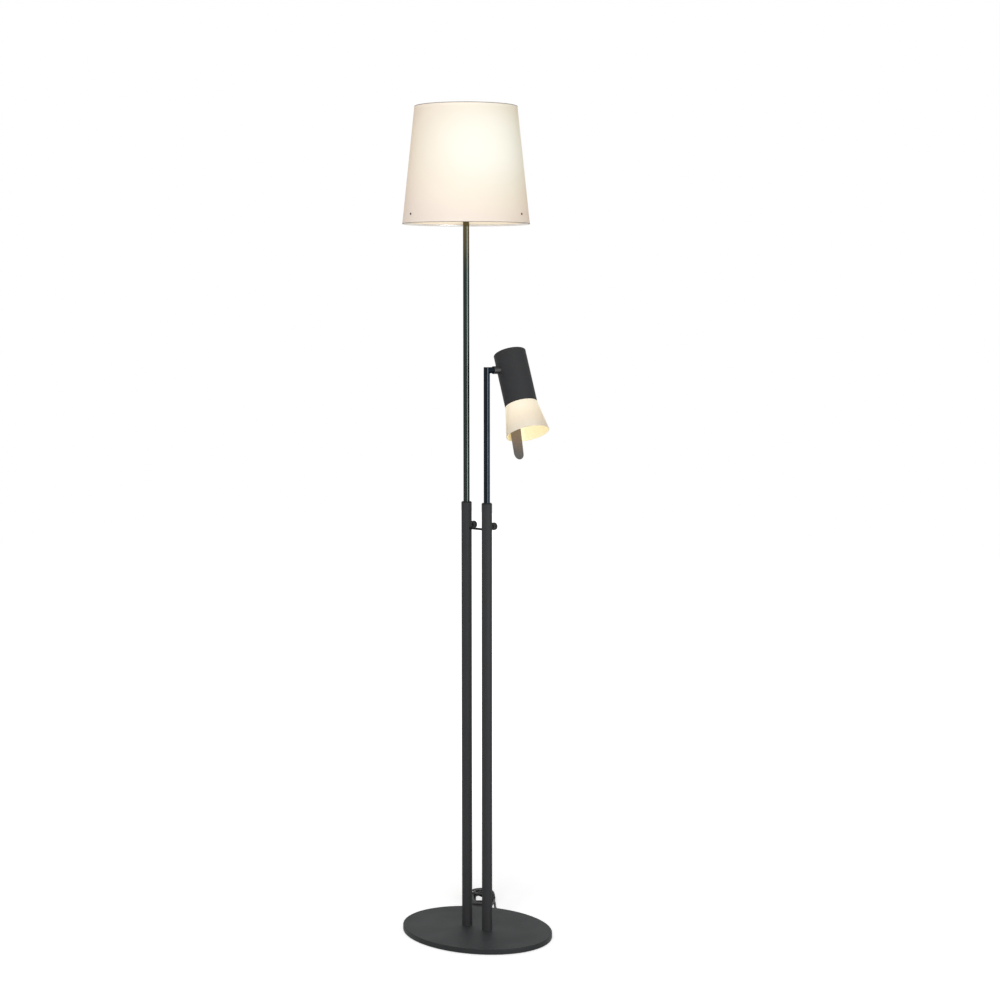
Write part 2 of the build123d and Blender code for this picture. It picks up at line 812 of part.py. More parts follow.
# Turn switch: its body hangs inside the cap, its spindle and knob turn.
with BuildPart() as turn_switch:
    with BuildSketch(switch_plane.offset(holder_radius - holder_wall - switch_body_depth)):
        Rectangle(switch_body[0], switch_body[1])
        Circle(switch_spindle / 2 + running, mode=Mode.SUBTRACT)
    extrude(amount=switch_body[2])
save(turn_switch, "turn_switch")

knob_near = holder_radius + slip
switch_outline = [
    (0, holder_radius - holder_wall - switch_body[2]),
    (switch_spindle / 2, holder_radius - holder_wall - switch_body[2]),
    (switch_spindle / 2, knob_near),
    (switch_knob_diameter / 2, knob_near),
    (switch_knob_diameter / 2, knob_near + switch_knob_length - edge_break),
    (switch_knob_diameter / 2 - edge_break, knob_near + switch_knob_length),
    (0, knob_near + switch_knob_length),
]
with BuildPart() as switch_knob:
    with BuildSketch(switch_section):
        with BuildLine():
            Polyline(*switch_outline, close=True)
        make_face()
    revolve(axis=Axis(switch_origin, switch_way))
    with BuildSketch(switch_plane.offset(knob_near)):
        with PolarLocations(switch_knob_diameter / 2, switch_knob_ribs):
            Rectangle(edge_break, edge_break, rotation=45)
    extrude(amount=switch_knob_length, mode=Mode.SUBTRACT)
save(switch_knob, "switch_knob")

# Lamp: a screw cap with rounded threads and a pear-shaped glass.
lamp_base = skirt_floor
lamp_rim = lamp_base + lamp_cap_height
cap_radius = lamp_cap_diameter / 2
thread_root = cap_radius - lamp_thread_depth
with BuildPart() as lamp_cap:
    with BuildSketch(main_section):
        with BuildLine():
            Polyline(
                (0, lamp_base),
                (lamp_contact_radius, lamp_base),
                (thread_root, lamp_base + lamp_thread_bevel),
                (thread_root, lamp_base + lamp_thread_start),
            )
            level = lamp_base + lamp_thread_start
            while level < lamp_rim - lamp_thread_end:
                ThreePointArc(
                    (thread_root, level),
                    (cap_radius, level + lamp_thread_pitch / 2),
                    (thread_root, level + lamp_thread_pitch),
                )
                level += lamp_thread_pitch
            Polyline(
                (thread_root, level),
                (thread_root, lamp_rim),
                (0, lamp_rim),
                (0, lamp_base),
            )
        make_face()
    revolve(axis=main_axis)
save(lamp_cap, "main_lamp_cap")

globe_radius = lamp_globe_diameter / 2
neck_foot = lamp_neck_diameter / 2 - lamp_thread_depth
globe_centre = lamp_rim + lamp_glass_height - globe_radius
with BuildPart() as lamp_glass:
    with BuildSketch(main_section):
        with BuildLine():
            Line((0, lamp_rim), (neck_foot, lamp_rim))
            Spline(
                (neck_foot, lamp_rim),
                (lamp_neck_diameter / 2 + lamp_neck_swell, lamp_rim + lamp_neck_height),
                (globe_radius, globe_centre),
                tangents=[(0, 1), (0, 1)],
            )
            RadiusArc((globe_radius, globe_centre), (0, globe_centre + globe_radius), -globe_radius)
            Line((0, globe_centre + globe_radius), (0, lamp_rim))
        make_face()
    revolve(axis=main_axis)
save(lamp_glass, "main_lamp_glass")

# ---------------------------------------------------------------- reading stem: rod, arm and pivot

# Rod: closed flush at its top, with a short arm of the same tube coped and brazed to its side.
pivot_start = rod_diameter / 2 + pivot_step
with BuildPart() as reading_rod:
    with BuildSketch(upright(reading_x, rod_foot_height)):
        Circle(rod_diameter / 2)
    extrude(amount=rod_tops["reading"] - rod_foot_height)
    chamfer(reading_rod.edges().filter_by(GeomType.CIRCLE).sort_by(Axis.Z)[-1], rod_break)
    with BuildSketch(arm_plane):
        Circle(rod_diameter / 2)
    extrude(amount=arm_stub)
    with BuildSketch(upright(reading_x, rod_foot_height)):
        Circle(rod_bore / 2)
    extrude(amount=rod_tops["reading"] - rod_cap - rod_foot_height, mode=Mode.SUBTRACT)
    with BuildSketch(arm_plane):
        Circle(pivot_bore / 2)
    extrude(amount=pivot_start, mode=Mode.SUBTRACT)
    with BuildSketch(arm_plane.offset(pivot_start)):
        Circle(rod_bore / 2)
    extrude(amount=arm_stub, mode=Mode.SUBTRACT)
save(reading_rod, "reading_rod")

# Pivot tube: a hollow threaded tube from the arm through the collar and the head's wall.
wall_gap = arm_reach - head_radius
nut_seat = wall_gap + head_wall + saddle_thickness
pivot_end = nut_seat + pivot_nut + pivot_thread_end
pivot_tube = tube(arm_plane.offset(pivot_start), rod_bore, pivot_bore, pivot_end - pivot_start)
save(pivot_tube, "pivot_tube")

with BuildPart() as pivot_lock_nut:
    with BuildSketch(arm_plane.offset(nut_seat + light_play)):
        RegularPolygon(nut_across / 2, 6, major_radius=False)
        Circle(rod_bore / 2, mode=Mode.SUBTRACT)
    extrude(amount=pivot_nut)
save(pivot_lock_nut, "pivot_nut")

# Rod lead: up the rod, round into the arm and through the pivot tube.
rod_lead_points = [
    (reading_x, 0, rod_foot_height),
    (reading_x, 0, arm_height),
    tuple(arm_root + arm_x * pivot_end),
]
with BuildPart() as reading_rod_lead:
    with BuildLine() as lead_route:
        FilletPolyline(*rod_lead_points, radius=lead_bend)
    with BuildSketch(upright(reading_x, rod_foot_height)):
        Circle(rod_lead_diameter / 2)
    sweep(path=lead_route.wires()[0])
save(reading_rod_lead, "reading_rod_lead")

# ---------------------------------------------------------------- reading head

# Collar: the thick knuckle between arm and head, coped to the head's round wall.
bore_radius = rod_bore / 2 + running
with BuildPart() as pivot_collar:
    with BuildSketch(arm_plane.offset(arm_stub + slip)):
        Circle(collar_diameter / 2)
        Circle(bore_radius, mode=Mode.SUBTRACT)
    extrude(amount=wall_gap - arm_stub - slip + collar_cope)
    with BuildSketch(head.offset(-collar_diameter)):
        Circle(head_radius)
    extrude(amount=2 * collar_diameter, mode=Mode.SUBTRACT)
save(pivot_collar, "pivot_collar")

# Saddle: a washer inside the head, round on its outer face and flat under the nut.
with BuildPart() as pivot_saddle:
    with BuildSketch(arm_plane.offset(wall_gap)):
        Circle(collar_diameter / 2 + saddle_margin)
        Circle(bore_radius, mode=Mode.SUBTRACT)
    extrude(amount=nut_seat - wall_gap)
    with BuildSketch(head.offset(-collar_diameter)):
        Circle(head_radius + saddle_thickness)
        Circle(head_radius - head_wall, mode=Mode.SUBTRACT)
    extrude(amount=2 * collar_diameter, mode=Mode.SUBTRACT)
save(pivot_saddle, "pivot_saddle")

# Shell: a straight tube with a fine bevel at its ends, open at both ends.
with BuildPart() as head_shell:
    with BuildSketch(head.offset(head_bottom)):
        Circle(head_radius)
        Circle(head_radius - head_wall, mode=Mode.SUBTRACT)
    extrude(amount=head_length)
    outer_rims = head_shell.edges().filter_by(GeomType.CIRCLE).group_by(SortBy.RADIUS)[-1]
    chamfer(outer_rims, fine_break)
    with BuildSketch(arm_plane):
        Circle(bore_radius)
    extrude(amount=arm_reach, mode=Mode.SUBTRACT)
save(head_shell, "head_shell")

# End cap: a disc let into the upper end, with a short skirt, the button's hole and two screw holes.
inner_radius = head_radius - head_wall
cap_face = head_above_pivot - end_cap_inset
cap_under = cap_face - end_cap_thickness
with BuildPart() as end_cap:
    with BuildSketch(head.offset(cap_under)):
        Circle(inner_radius)
        Circle(button_diameter / 2 + running, mode=Mode.SUBTRACT)
        with Locations((0, long_screw_offset), (0, -long_screw_offset)):
            Circle(handle_screw_diameter / 2, mode=Mode.SUBTRACT)
    extrude(amount=end_cap_thickness)
    with BuildSketch(head.offset(cap_under - end_cap_skirt)):
        Circle(inner_radius)
        Circle(inner_radius - end_cap_skirt_wall, mode=Mode.SUBTRACT)
    extrude(amount=end_cap_skirt)
save(end_cap, "head_end_cap")

# Push switch under the end cap, and its sprung button.
with BuildPart() as push_switch:
    with BuildSketch(head.offset(cap_under - push_body[2])):
        RectangleRounded(push_body[0], push_body[1], push_body_corner)
    extrude(amount=push_body[2])
    with BuildSketch(head.offset(cap_under)):
        Circle(button_diameter / 2 + running)
    extrude(amount=-button_travel - push_room, mode=Mode.SUBTRACT)
save(push_switch, "push_switch")

with BuildPart() as push_button:
    with BuildSketch(head.offset(cap_under - button_foot)):
        Circle(button_diameter / 2)
    extrude(amount=button_foot + end_cap_thickness + button_proud)
    fillet(push_button.edges().filter_by(GeomType.CIRCLE).sort_by(head_axis)[-1], button_round)
save(push_button, "push_button")

# Bracket: a disc across the shell that carries the lampholder and, on a bent tab, the handle.
bracket_top = -bracket_drop
bracket_plane = head.offset(bracket_top - bracket_thickness)
handle_out = head.x_dir * cos(radians(handle_bearing)) + head.y_dir * sin(radians(handle_bearing))
handle_across = head.y_dir * cos(radians(handle_bearing)) - head.x_dir * sin(radians(handle_bearing))
mouth_centre = pivot + head_up * mouth_level
handle_down = (handle_out * handle_lean - head_up).normalized()
handle_mid = mouth_centre + handle_out * handle_offset
handle_face = handle_down.cross(handle_across)
handle_plane = Plane(origin=handle_mid, x_dir=handle_across, z_dir=handle_face)
tab_low = head_bottom - mouth_level + diffuser_neck + tab_clearance
tab_high = bracket_top - bracket_thickness / 2 - mouth_level
handle_top = tab_low + handle_overlap
tab_screws = [tab_low + level for level in handle_screw_levels]
with BuildPart() as head_bracket:
    with BuildSketch(bracket_plane):
        Circle(inner_radius - slip)
        Circle(socket_diameter / 2, mode=Mode.SUBTRACT)
        with Locations((0, long_screw_offset), (0, -long_screw_offset)):
            Circle(handle_screw_diameter / 2, mode=Mode.SUBTRACT)
    extrude(amount=bracket_thickness)
    with BuildSketch(handle_plane.offset(handle_thickness / 2)):
        with Locations((0, (tab_low + tab_high) / 2)):
            Rectangle(handle_stem_width, tab_high - tab_low)
        with Locations(*[(0, level) for level in tab_screws]):
            Circle(handle_screw_diameter / 2, mode=Mode.SUBTRACT)
    extrude(amount=bracket_thickness)
save(head_bracket, "head_bracket")

# Long screws: two, from the end cap down to nuts under the bracket.
with BuildPart() as long_screws:
    with BuildSketch(head.offset(bracket_top - long_screw_end)):
        with Locations((0, long_screw_offset), (0, -long_screw_offset)):
            Circle(handle_screw_diameter / 2)
    extrude(amount=cap_face - bracket_top + long_screw_end)
    with BuildSketch(head.offset(cap_face)):
        with Locations((0, long_screw_offset), (0, -long_screw_offset)):
            Circle(small_nut_across / 2)
    extrude(amount=small_head_height)
    with BuildSketch(head.offset(bracket_top - bracket_thickness)):
        with Locations((0, long_screw_offset), (0, -long_screw_offset)):
            RegularPolygon(small_nut_across / 2, 6, major_radius=False)
    extrude(amount=-small_nut_height)
save(long_screws, "long_screws")

# Small lampholder: a sleeve with a flange that rests on the bracket.
socket_top = bracket_top + socket_rise
socket_bottom = socket_top - socket_length
socket_radius = socket_diameter / 2
socket_bore = candle_cap_diameter / 2 + socket_play
socket_outline = [
    (0, socket_top),
    (socket_radius - socket_shoulder, socket_top),
    (socket_radius, socket_top - socket_shoulder_height),
    (socket_radius, bracket_top + socket_flange),
    (socket_radius + socket_flange, bracket_top + socket_flange),
    (socket_radius + socket_flange, bracket_top),
    (socket_radius, bracket_top),
    (socket_radius, socket_bottom),
    (socket_bore, socket_bottom),
    (socket_bore, socket_bottom + candle_cap_length),
    (0, socket_bottom + candle_cap_length),
]
small_holder = turned(head_section, head_axis, socket_outline)
save(small_holder, "small_lampholder")

# Candle lamp: a plain screw cap and a pointed glass.
candle_cap = pin(head.offset(socket_bottom), candle_cap_diameter, candle_cap_length)
save(candle_cap, "candle_cap")

candle_radius = candle_diameter / 2
candle_tip = socket_bottom - candle_length
with BuildPart() as candle_glass:
    with BuildSketch(head_section):
        with BuildLine():
            Line((0, socket_bottom), (candle_cap_diameter / 2, socket_bottom))
            Spline(
                (candle_cap_diameter / 2, socket_bottom),
                (candle_radius, socket_bottom - candle_length * candle_belly),
                (0, candle_tip),
                tangents=[(0.3, -1), (-1, -0.5)],
            )
            Line((0, candle_tip), (0, socket_bottom))
        make_face()
    revolve(axis=head_axis)
save(candle_glass, "candle_glass")

# Diffuser: an opal cone with an open mouth; its neck pushes into the shell.
neck_radius = inner_radius - running
mouth_radius = diffuser_mouth_diameter / 2
diffuser_outline = [
    (neck_radius, head_bottom + diffuser_neck),
    (neck_radius, head_bottom),
    (head_radius, head_bottom),
    (mouth_radius, mouth_level),
    (mouth_radius - diffuser_wall, mouth_level),
    (neck_radius - diffuser_wall, head_bottom),
    (neck_radius - diffuser_wall, head_bottom + diffuser_neck),
]
diffuser = turned(head_section, head_axis, diffuser_outline)
save(diffuser, "diffuser")

# Handle: a flat tongue from the bracket's tab through the diffuser, wide and round where it comes out.
tip_radius = handle_tip_width / 2
tip_centre = tip_radius - handle_beyond
with BuildPart() as handle:
    with BuildSketch(handle_plane.offset(-handle_thickness / 2)):
        with BuildLine():
            stem = Line((handle_stem_width / 2, handle_top), (handle_stem_width / 2, handle_flare_top))
            flare = Spline(stem @ 1, (handle_width / 2, handle_flare_end), tangents=[(0, -1), (0, -1)])
            edge = Line(flare @ 1, (tip_radius, tip_centre))
            mirror(about=Plane.YZ)
            ThreePointArc((tip_radius, tip_centre), (0, -handle_beyond), (-tip_radius, tip_centre))
            Line((-handle_stem_width / 2, handle_top), (handle_stem_width / 2, handle_top))
        make_face()
        with Locations(*[(0, level) for level in tab_screws]):
            Circle(handle_screw_diameter / 2, mode=Mode.SUBTRACT)
    extrude(amount=handle_thickness)
save(handle, "handle")

with BuildPart() as handle_screws:
    with BuildSketch(handle_plane.offset(-handle_thickness / 2 - small_head_height)):
        with Locations(*[(0, level) for level in tab_screws]):
            Circle(handle_screw_head / 2)
    extrude(amount=small_head_height)
    with BuildSketch(handle_plane.offset(-handle_thickness / 2)):
        with Locations(*[(0, level) for level in tab_screws]):
            Circle(handle_screw_diameter / 2)
    extrude(amount=handle_thickness + bracket_thickness + handle_screw_end)
save(handle_screws, "handle_screws")

# ---------------------------------------------------------------- cord

# Power cord: from the strain relief round into the hank that lies behind the base.
power_points = [
    tuple(gland_outer),
    (-70.9, 137.0, 3.2),
    (-83.8, 149.6, 2.5),
    (-100.7, 161.5, 3.0),
    (-114.0, 173.8, 4.0),
]

# Hank: the rest of the cord, folded up and lying on the floor, as one band.
hank_way = Vector(cos(radians(hank_bearing)), sin(radians(hank_bearing)), 0)
hank_plane = Plane(origin=(*hank_centre, 0), x_dir=hank_way, z_dir=(0, 0, 1))
hank_across = 2 * hank_end_radius
with BuildPart() as cord_hank:
    with BuildSketch(hank_plane):
        SlotCenterToCenter(hank_straight, hank_across + hank_band_width)
        SlotCenterToCenter(hank_straight, hank_across - hank_band_width, mode=Mode.SUBTRACT)
    extrude(amount=hank_band_height)
    fillet(cord_hank.edges().group_by(Axis.Z)[-1], hank_round)
save(cord_hank, "cord_hank")

# Tail: the cord's last run, from the hank up to the plug, which stands on its edge beside it.
plug_middle = plug_width / 2
tail_points = [
    (-122.1, 129.7, 5.0),
    (-133.2, 138.7, 6.0),
    (-145.8, 143.9, 10.0),
    (-158.5, 148.7, 15.0),
    (-169.8, 157.5, plug_middle),
]
with BuildPart() as power_cord:
    add(cord(power_points, cord_diameter).part)
    add(cord(tail_points, cord_diameter).part)
save(power_cord, "power_cord")

# Plug: a flat two-pin plug, wide at its face and tapered towards the cord.
plug_side = Vector(sin(radians(hank_bearing)), -cos(radians(hank_bearing)), 0)
plug_back = Vector(*tail_points[-1]) - hank_way * plug_bite
plug_plane = Plane(origin=plug_back, x_dir=hank_way, z_dir=plug_side)
with BuildPart() as plug_body:
    with BuildSketch(plug_plane.offset(-plug_thickness / 2)):
        with BuildLine():
            Polyline(
                (0, -plug_thickness / 2),
                (plug_taper, -plug_width / 2),
                (plug_length, -plug_width / 2),
                (plug_length, plug_width / 2),
                (plug_taper, plug_width / 2),
                (0, plug_thickness / 2),
                close=True,
            )
        make_face()
    extrude(amount=plug_thickness)
    fillet(plug_body.edges().filter_by(Plane(origin=plug_back, z_dir=plug_side)), plug_round)
save(plug_body, "plug_body")

with BuildPart() as plug_pins:
    with BuildSketch(Plane(origin=plug_back + hank_way * plug_length, x_dir=(0, 0, 1), z_dir=hank_way)):
        with GridLocations(pin_spacing, 0, 2, 1):
            Circle(pin_diameter / 2)
    extrude(amount=pin_length)
save(plug_pins, "plug_pins")

for name, points in (("power cord", power_points), ("plug tail", tail_points)):
    radii = ", ".join(f"{radius:.0f}" for radius in corner_radii(points))
    print(f"{name} bend radii: {radii} mm")
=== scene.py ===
from math import cos, pi, radians, sin

import bmesh
import bpy
from mathutils import Matrix, Vector


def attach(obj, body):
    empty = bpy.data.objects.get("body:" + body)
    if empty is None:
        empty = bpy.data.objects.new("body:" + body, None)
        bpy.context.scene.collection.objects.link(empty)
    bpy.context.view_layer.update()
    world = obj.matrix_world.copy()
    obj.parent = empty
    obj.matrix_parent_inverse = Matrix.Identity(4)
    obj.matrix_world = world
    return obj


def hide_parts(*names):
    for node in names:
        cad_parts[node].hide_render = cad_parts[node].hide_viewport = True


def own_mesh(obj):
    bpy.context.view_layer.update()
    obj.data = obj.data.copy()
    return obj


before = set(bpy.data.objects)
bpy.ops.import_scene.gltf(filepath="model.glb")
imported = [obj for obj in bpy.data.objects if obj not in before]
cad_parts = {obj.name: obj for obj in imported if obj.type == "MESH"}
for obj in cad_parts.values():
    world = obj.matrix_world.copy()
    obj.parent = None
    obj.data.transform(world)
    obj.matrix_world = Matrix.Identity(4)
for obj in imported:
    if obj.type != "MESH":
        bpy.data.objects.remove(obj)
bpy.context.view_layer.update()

scene = bpy.context.scene

# ---------------------------------------------------------------- camera
# The lamp is seen from a little above its middle, from the side of the reading post.
# The long lens keeps the two posts parallel.
camera_pitch = 0.0975
camera_heading = 0.7131
camera_lens = bpy.data.cameras.new("camera")
camera_lens.lens = 73.84
camera_lens.sensor_width = 36
camera = bpy.data.objects.new("camera", camera_lens)
camera.location = (2.5960, -2.9329, 1.2346)
camera.rotation_euler = (pi / 2 - camera_pitch, 0, camera_heading)
scene.collection.objects.link(camera)
scene.camera = camera

# ---------------------------------------------------------------- power cord
# Power cord: a round black PVC lead, 4.5 mm thick and 1.8 m long. It leaves the base's rear rim,
# and the rest of it is folded up behind the base in a flat hank with a plug on its end.
cord_diameter = 0.0045
cord_exit = (-0.0633, 0.1220, 0.00425)
plug_entry = (-0.1698, 0.1575, 0.01765)
hank_middle = Vector((-0.1278, 0.1585, 0))
hank_bearing = radians(130.9)
hank_way = Vector((cos(hank_bearing), sin(hank_bearing), 0))
hank_left = Vector((-hank_way.y, hank_way.x, 0))
half_run = 0.031
fold_radius = 0.0175
outermost = 0.008
innermost = -0.004
strand_pitch = 0.0047
layer_rise = 0.0046
lowest_layer = 0.0031
marks_per_turn = 14
half_turn = 7
fold_step = 36
turns_wound = 5.86
climb_share = 0.08


def in_hank(along, across, height):
    """A point of the hank, from its place along and across the folded runs."""
    return hank_middle + along * hank_way + across * hank_left + Vector((0, 0, height))


cord_route = [
    Vector(cord_exit),
    Vector((-0.0709, 0.1370, 0.0032)),
    Vector((-0.0838, 0.1496, 0.0025)),
    Vector((-0.0970, 0.1647, 0.0027)),
]
turns_per_layer = (outermost - innermost) / strand_pitch
for mark in range(int(turns_wound * marks_per_turn) + 1):
    turn = mark / marks_per_turn
    layer = int(turn // turns_per_layer)
    into_layer = turn - layer * turns_per_layer
    offset = outermost - strand_pitch * into_layer
    if layer % 2:
        offset = innermost + strand_pitch * into_layer
    height = lowest_layer + layer_rise * layer
    for change in (1, 2):
        climb = (turn - change * turns_per_layer + climb_share) / (2 * climb_share)
        if 0 < climb < 1:
            height = lowest_layer + layer_rise * (change - 1 + 3 * climb ** 2 - 2 * climb ** 3)
    radius = fold_radius + offset
    step = mark % marks_per_turn
    if step == 0:
        cord_route.append(in_hank(0, -radius, height))
    elif step < half_turn:
        fold = radians(fold_step * (step - 1))
        cord_route.append(in_hank(half_run + radius * sin(fold), -radius * cos(fold), height))
    elif step == half_turn:
        cord_route.append(in_hank(0, radius, height))
    else:
        fold = radians(fold_step * (step - half_turn - 1))
        cord_route.append(in_hank(-half_run - radius * sin(fold), radius * cos(fold), height))

# The tail crosses the finished hank twice and goes round both of its ends to the plug.
cord_route += [
    in_hank(-0.0200, -0.0190, 0.0127),
    in_hank(-0.0040, -0.0060, 0.0123),
    in_hank(0.0140, 0.0080, 0.0123),
    in_hank(0.0310, 0.0160, 0.0123),
    in_hank(0.0420, 0.0145, 0.0123),
    in_hank(0.0490, 0.0040, 0.0123),
    in_hank(0.0490, -0.0080, 0.0123),
    in_hank(0.0410, -0.0180, 0.0123),
    in_hank(0.0280, -0.0200, 0.0123),
    in_hank(0.0040, -0.0185, 0.0128),
    in_hank(-0.0120, -0.0185, 0.0162),
    in_hank(-0.0240, -0.0180, 0.0174),
    in_hank(-0.0350, -0.0160, 0.0172),
    in_hank(-0.0430, -0.0105, 0.0135),
    in_hank(-0.0475, 0.0000, 0.0123),
    in_hank(-0.0430, 0.0120, 0.0123),
    in_hank(-0.0290, 0.0180, 0.0123),
    in_hank(-0.0127, 0.0185, 0.0148),
    in_hank(-0.0005, 0.0230, 0.0172),
    in_hank(0.0114, 0.0305, 0.0172),
    Vector(plug_entry),
]

cord_curve = bpy.data.curves.new("power_cord_lead", "CURVE")
cord_curve.dimensions = "3D"
cord_curve.resolution_u = 6
cord_line = cord_curve.splines.new("NURBS")
cord_line.points.add(len(cord_route) - 1)
for point, place in zip(cord_line.points, cord_route):
    point.co = (*place, 1)
cord_line.order_u = 3
cord_line.use_endpoint_u = True
power_lead = bpy.data.objects.new("power_cord_lead", cord_curve)
scene.collection.objects.link(power_lead)

# The smooth line itself, read before the cord gets its thickness
bpy.context.view_layer.update()
line_mesh = bpy.data.meshes.new_from_object(power_lead)
cord_line_points = [vertex.co.copy() for vertex in line_mesh.vertices]
bpy.data.meshes.remove(line_mesh)
cord_curve.bevel_depth = cord_diameter / 2
cord_curve.bevel_resolution = 4
cord_curve.use_fill_caps = True


def effect_group(name, inputs, outputs):
    """An empty node group with its named sockets, and its first and last nodes."""
    group = bpy.data.node_groups.new(name, "ShaderNodeTree")
    for side, sockets in (("INPUT", inputs), ("OUTPUT", outputs)):
        for socket, kind in sockets:
            group.interface.new_socket(socket, in_out=side, socket_type="NodeSocket" + kind)
    return group, group.nodes.new("NodeGroupInput"), group.nodes.new("NodeGroupOutput")


def math_node(nodes, operation, second=None, third=None):
    """A Math node, with numbers for the sockets that nothing is joined to."""
    node = nodes.new("ShaderNodeMath")
    node.operation = operation
    for index, number in ((1, second), (2, third)):
        if number is not None:
            node.inputs[index].default_value = number
    return node


def fine_grain():
    """A grain that the paints, plastics and metals share: colour, roughness and height."""
    group, given, result = effect_group(
        "fine grain",
        [
            ("Place", "Vector"),
            ("Colour", "Color"),
            ("Variation", "Float"),
            ("Grain", "Float"),
            ("Clouds", "Float"),
            ("Smoothest", "Float"),
            ("Roughest", "Float"),
        ],
        [("Colour", "Color"), ("Roughness", "Float"), ("Height", "Float")],
    )
    nodes, join = group.nodes, group.links.new
    grain = nodes.new("ShaderNodeTexNoise")
    grain.inputs["Detail"].default_value = 2
    join(given.outputs["Place"], grain.inputs["Vector"])
    join(given.outputs["Grain"], grain.inputs["Scale"])
    clouds = nodes.new("ShaderNodeTexNoise")
    clouds.inputs["Detail"].default_value = 4
    join(given.outputs["Place"], clouds.inputs["Vector"])
    join(given.outputs["Clouds"], clouds.inputs["Scale"])
    both = math_node(nodes, "MULTIPLY_ADD", second=0.45)
    join(grain.outputs["Fac"], both.inputs[0])
    join(clouds.outputs["Fac"], both.inputs[2])
    centred = math_node(nodes, "SUBTRACT", second=0.725)
    join(both.outputs[0], centred.inputs[0])
    shift = math_node(nodes, "MULTIPLY_ADD", third=1)
    join(centred.outputs[0], shift.inputs[0])
    join(given.outputs["Variation"], shift.inputs[1])
    shaded = nodes.new("ShaderNodeVectorMath")
    shaded.operation = "SCALE"
    join(given.outputs["Colour"], shaded.inputs[0])
    join(shift.outputs[0], shaded.inputs["Scale"])
    join(shaded.outputs[0], result.inputs["Colour"])

    polish = nodes.new("ShaderNodeMapRange")
    polish.inputs["From Min"].default_value = 0.45
    polish.inputs["From Max"].default_value = 1.0
    join(both.outputs[0], polish.inputs["Value"])
    join(given.outputs["Smoothest"], polish.inputs["To Min"])
    join(given.outputs["Roughest"], polish.inputs["To Max"])
    join(polish.outputs["Result"], result.inputs["Roughness"])
    join(grain.outputs["Fac"], result.inputs["Height"])
    return group


grain_group = fine_grain()


def finish_of(name, colour, variation, grain, clouds, roughness, relief, metallic=0.0, gloss=0.5):
    """A material with the shared grain: relief is the depth of its bumps in metres."""
    material = bpy.data.materials.new(name)
    material.use_nodes = True
    nodes, join = material.node_tree.nodes, material.node_tree.links.new
    shader = nodes["Principled BSDF"]
    shader.inputs["Metallic"].default_value = metallic
    shader.inputs["Specular IOR Level"].default_value = gloss
    place = nodes.new("ShaderNodeTexCoord")
    pattern = nodes.new("ShaderNodeGroup")
    pattern.node_tree = grain_group
    pattern.inputs["Colour"].default_value = (*colour, 1)
    pattern.inputs["Variation"].default_value = variation
    pattern.inputs["Grain"].default_value = grain
    pattern.inputs["Clouds"].default_value = clouds
    pattern.inputs["Smoothest"].default_value = roughness[0]
    pattern.inputs["Roughest"].default_value = roughness[1]
    join(place.outputs["Object"], pattern.inputs["Place"])
    join(pattern.outputs["Colour"], shader.inputs["Base Color"])
    join(pattern.outputs["Roughness"], shader.inputs["Roughness"])
    bump = nodes.new("ShaderNodeBump")
    bump.inputs["Distance"].default_value = relief
    join(pattern.outputs["Height"], bump.inputs["Height"])
    join(bump.outputs["Normal"], shader.inputs["Normal"])
    return material


def dress(material, *names):
    """Gives a finish to solids of the frame whose shape is right as it is."""
    for name in names:
        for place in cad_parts[name].material_slots:
            place.link = "OBJECT"
            place.material = material


def mesh_of(name, shape):
    """The finished mesh of a bmesh, which isn't needed after that."""
    mesh = bpy.data.meshes.new(name)
    shape.to_mesh(mesh)
    shape.free()
    return mesh


def shown(name, mesh, material):
    """An object for a finished mesh, with its finish, at the origin."""
    piece = bpy.data.objects.new(name, mesh)
    mesh.materials.append(material)
    scene.collection.objects.link(piece)
    return piece


cord_pvc = finish_of(
    "black cord PVC", (0.018, 0.018, 0.019), variation=0.5, grain=900, clouds=60,
    roughness=(0.42, 0.6), relief=0.00003,
)
cord_curve.materials.append(cord_pvc)
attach(power_lead, "base")
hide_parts("power_cord", "cord_hank")
dress(
    cord_pvc,
    "base_leads",
    "main_lower_lead",
    "reading_lower_lead",
    "main_rod_lead",
    "reading_rod_lead",
)

# Cord boot: a soft black rubber sleeve that grows out of the strain relief's nose.
# It tapers along the cord, and grooves let it bend.
boot_length = 0.023
boot_stations = 24
boot_start_radius = 0.00335
boot_end_radius = 0.00262
boot_groove = 0.00028
boot_gap = 0.0001


def point_on_cord(distance):
    """The place and the way of the cord's line at a distance from its start."""
    walked = 0.0
    for here, ahead in zip(cord_line_points, cord_line_points[1:]):
        run = (ahead - here).length
        if walked + run >= distance:
            return here.lerp(ahead, (distance - walked) / run), (ahead - here).normalized()
        walked += run
    return cord_line_points[-1], (cord_line_points[-1] - cord_line_points[-2]).normalized()


def facing(place, way):
    """A frame whose Z looks along a way."""
    return Matrix.Translation(place) @ way.to_track_quat("Z", "Y").to_matrix().to_4x4()


boot = bmesh.new()
rings = []
for station in range(boot_stations + 1):
    share = station / boot_stations
    radius = boot_start_radius + (boot_end_radius - boot_start_radius) * share
    if station % 4 == 2 and 2 < station < boot_stations - 1:
        radius -= boot_groove
    place, way = point_on_cord(boot_gap + boot_length * share)
    ring = bmesh.ops.create_circle(
        boot,
        segments=24,
        radius=radius,
        matrix=facing(place, way),
        cap_ends=False,
    )
    rings.append(set(ring["verts"]))
boot_edges = [[edge for edge in boot.edges if set(edge.verts) <= ring] for ring in rings]
for near, far in zip(boot_edges, boot_edges[1:]):
    bmesh.ops.bridge_loops(boot, edges=near + far)
bmesh.ops.contextual_create(boot, geom=boot_edges[0])
bmesh.ops.contextual_create(boot, geom=boot_edges[-1])
bmesh.ops.recalc_face_normals(boot, faces=boot.faces)
boot_mesh = mesh_of("cord_boot", boot)
boot_mesh.shade_smooth()
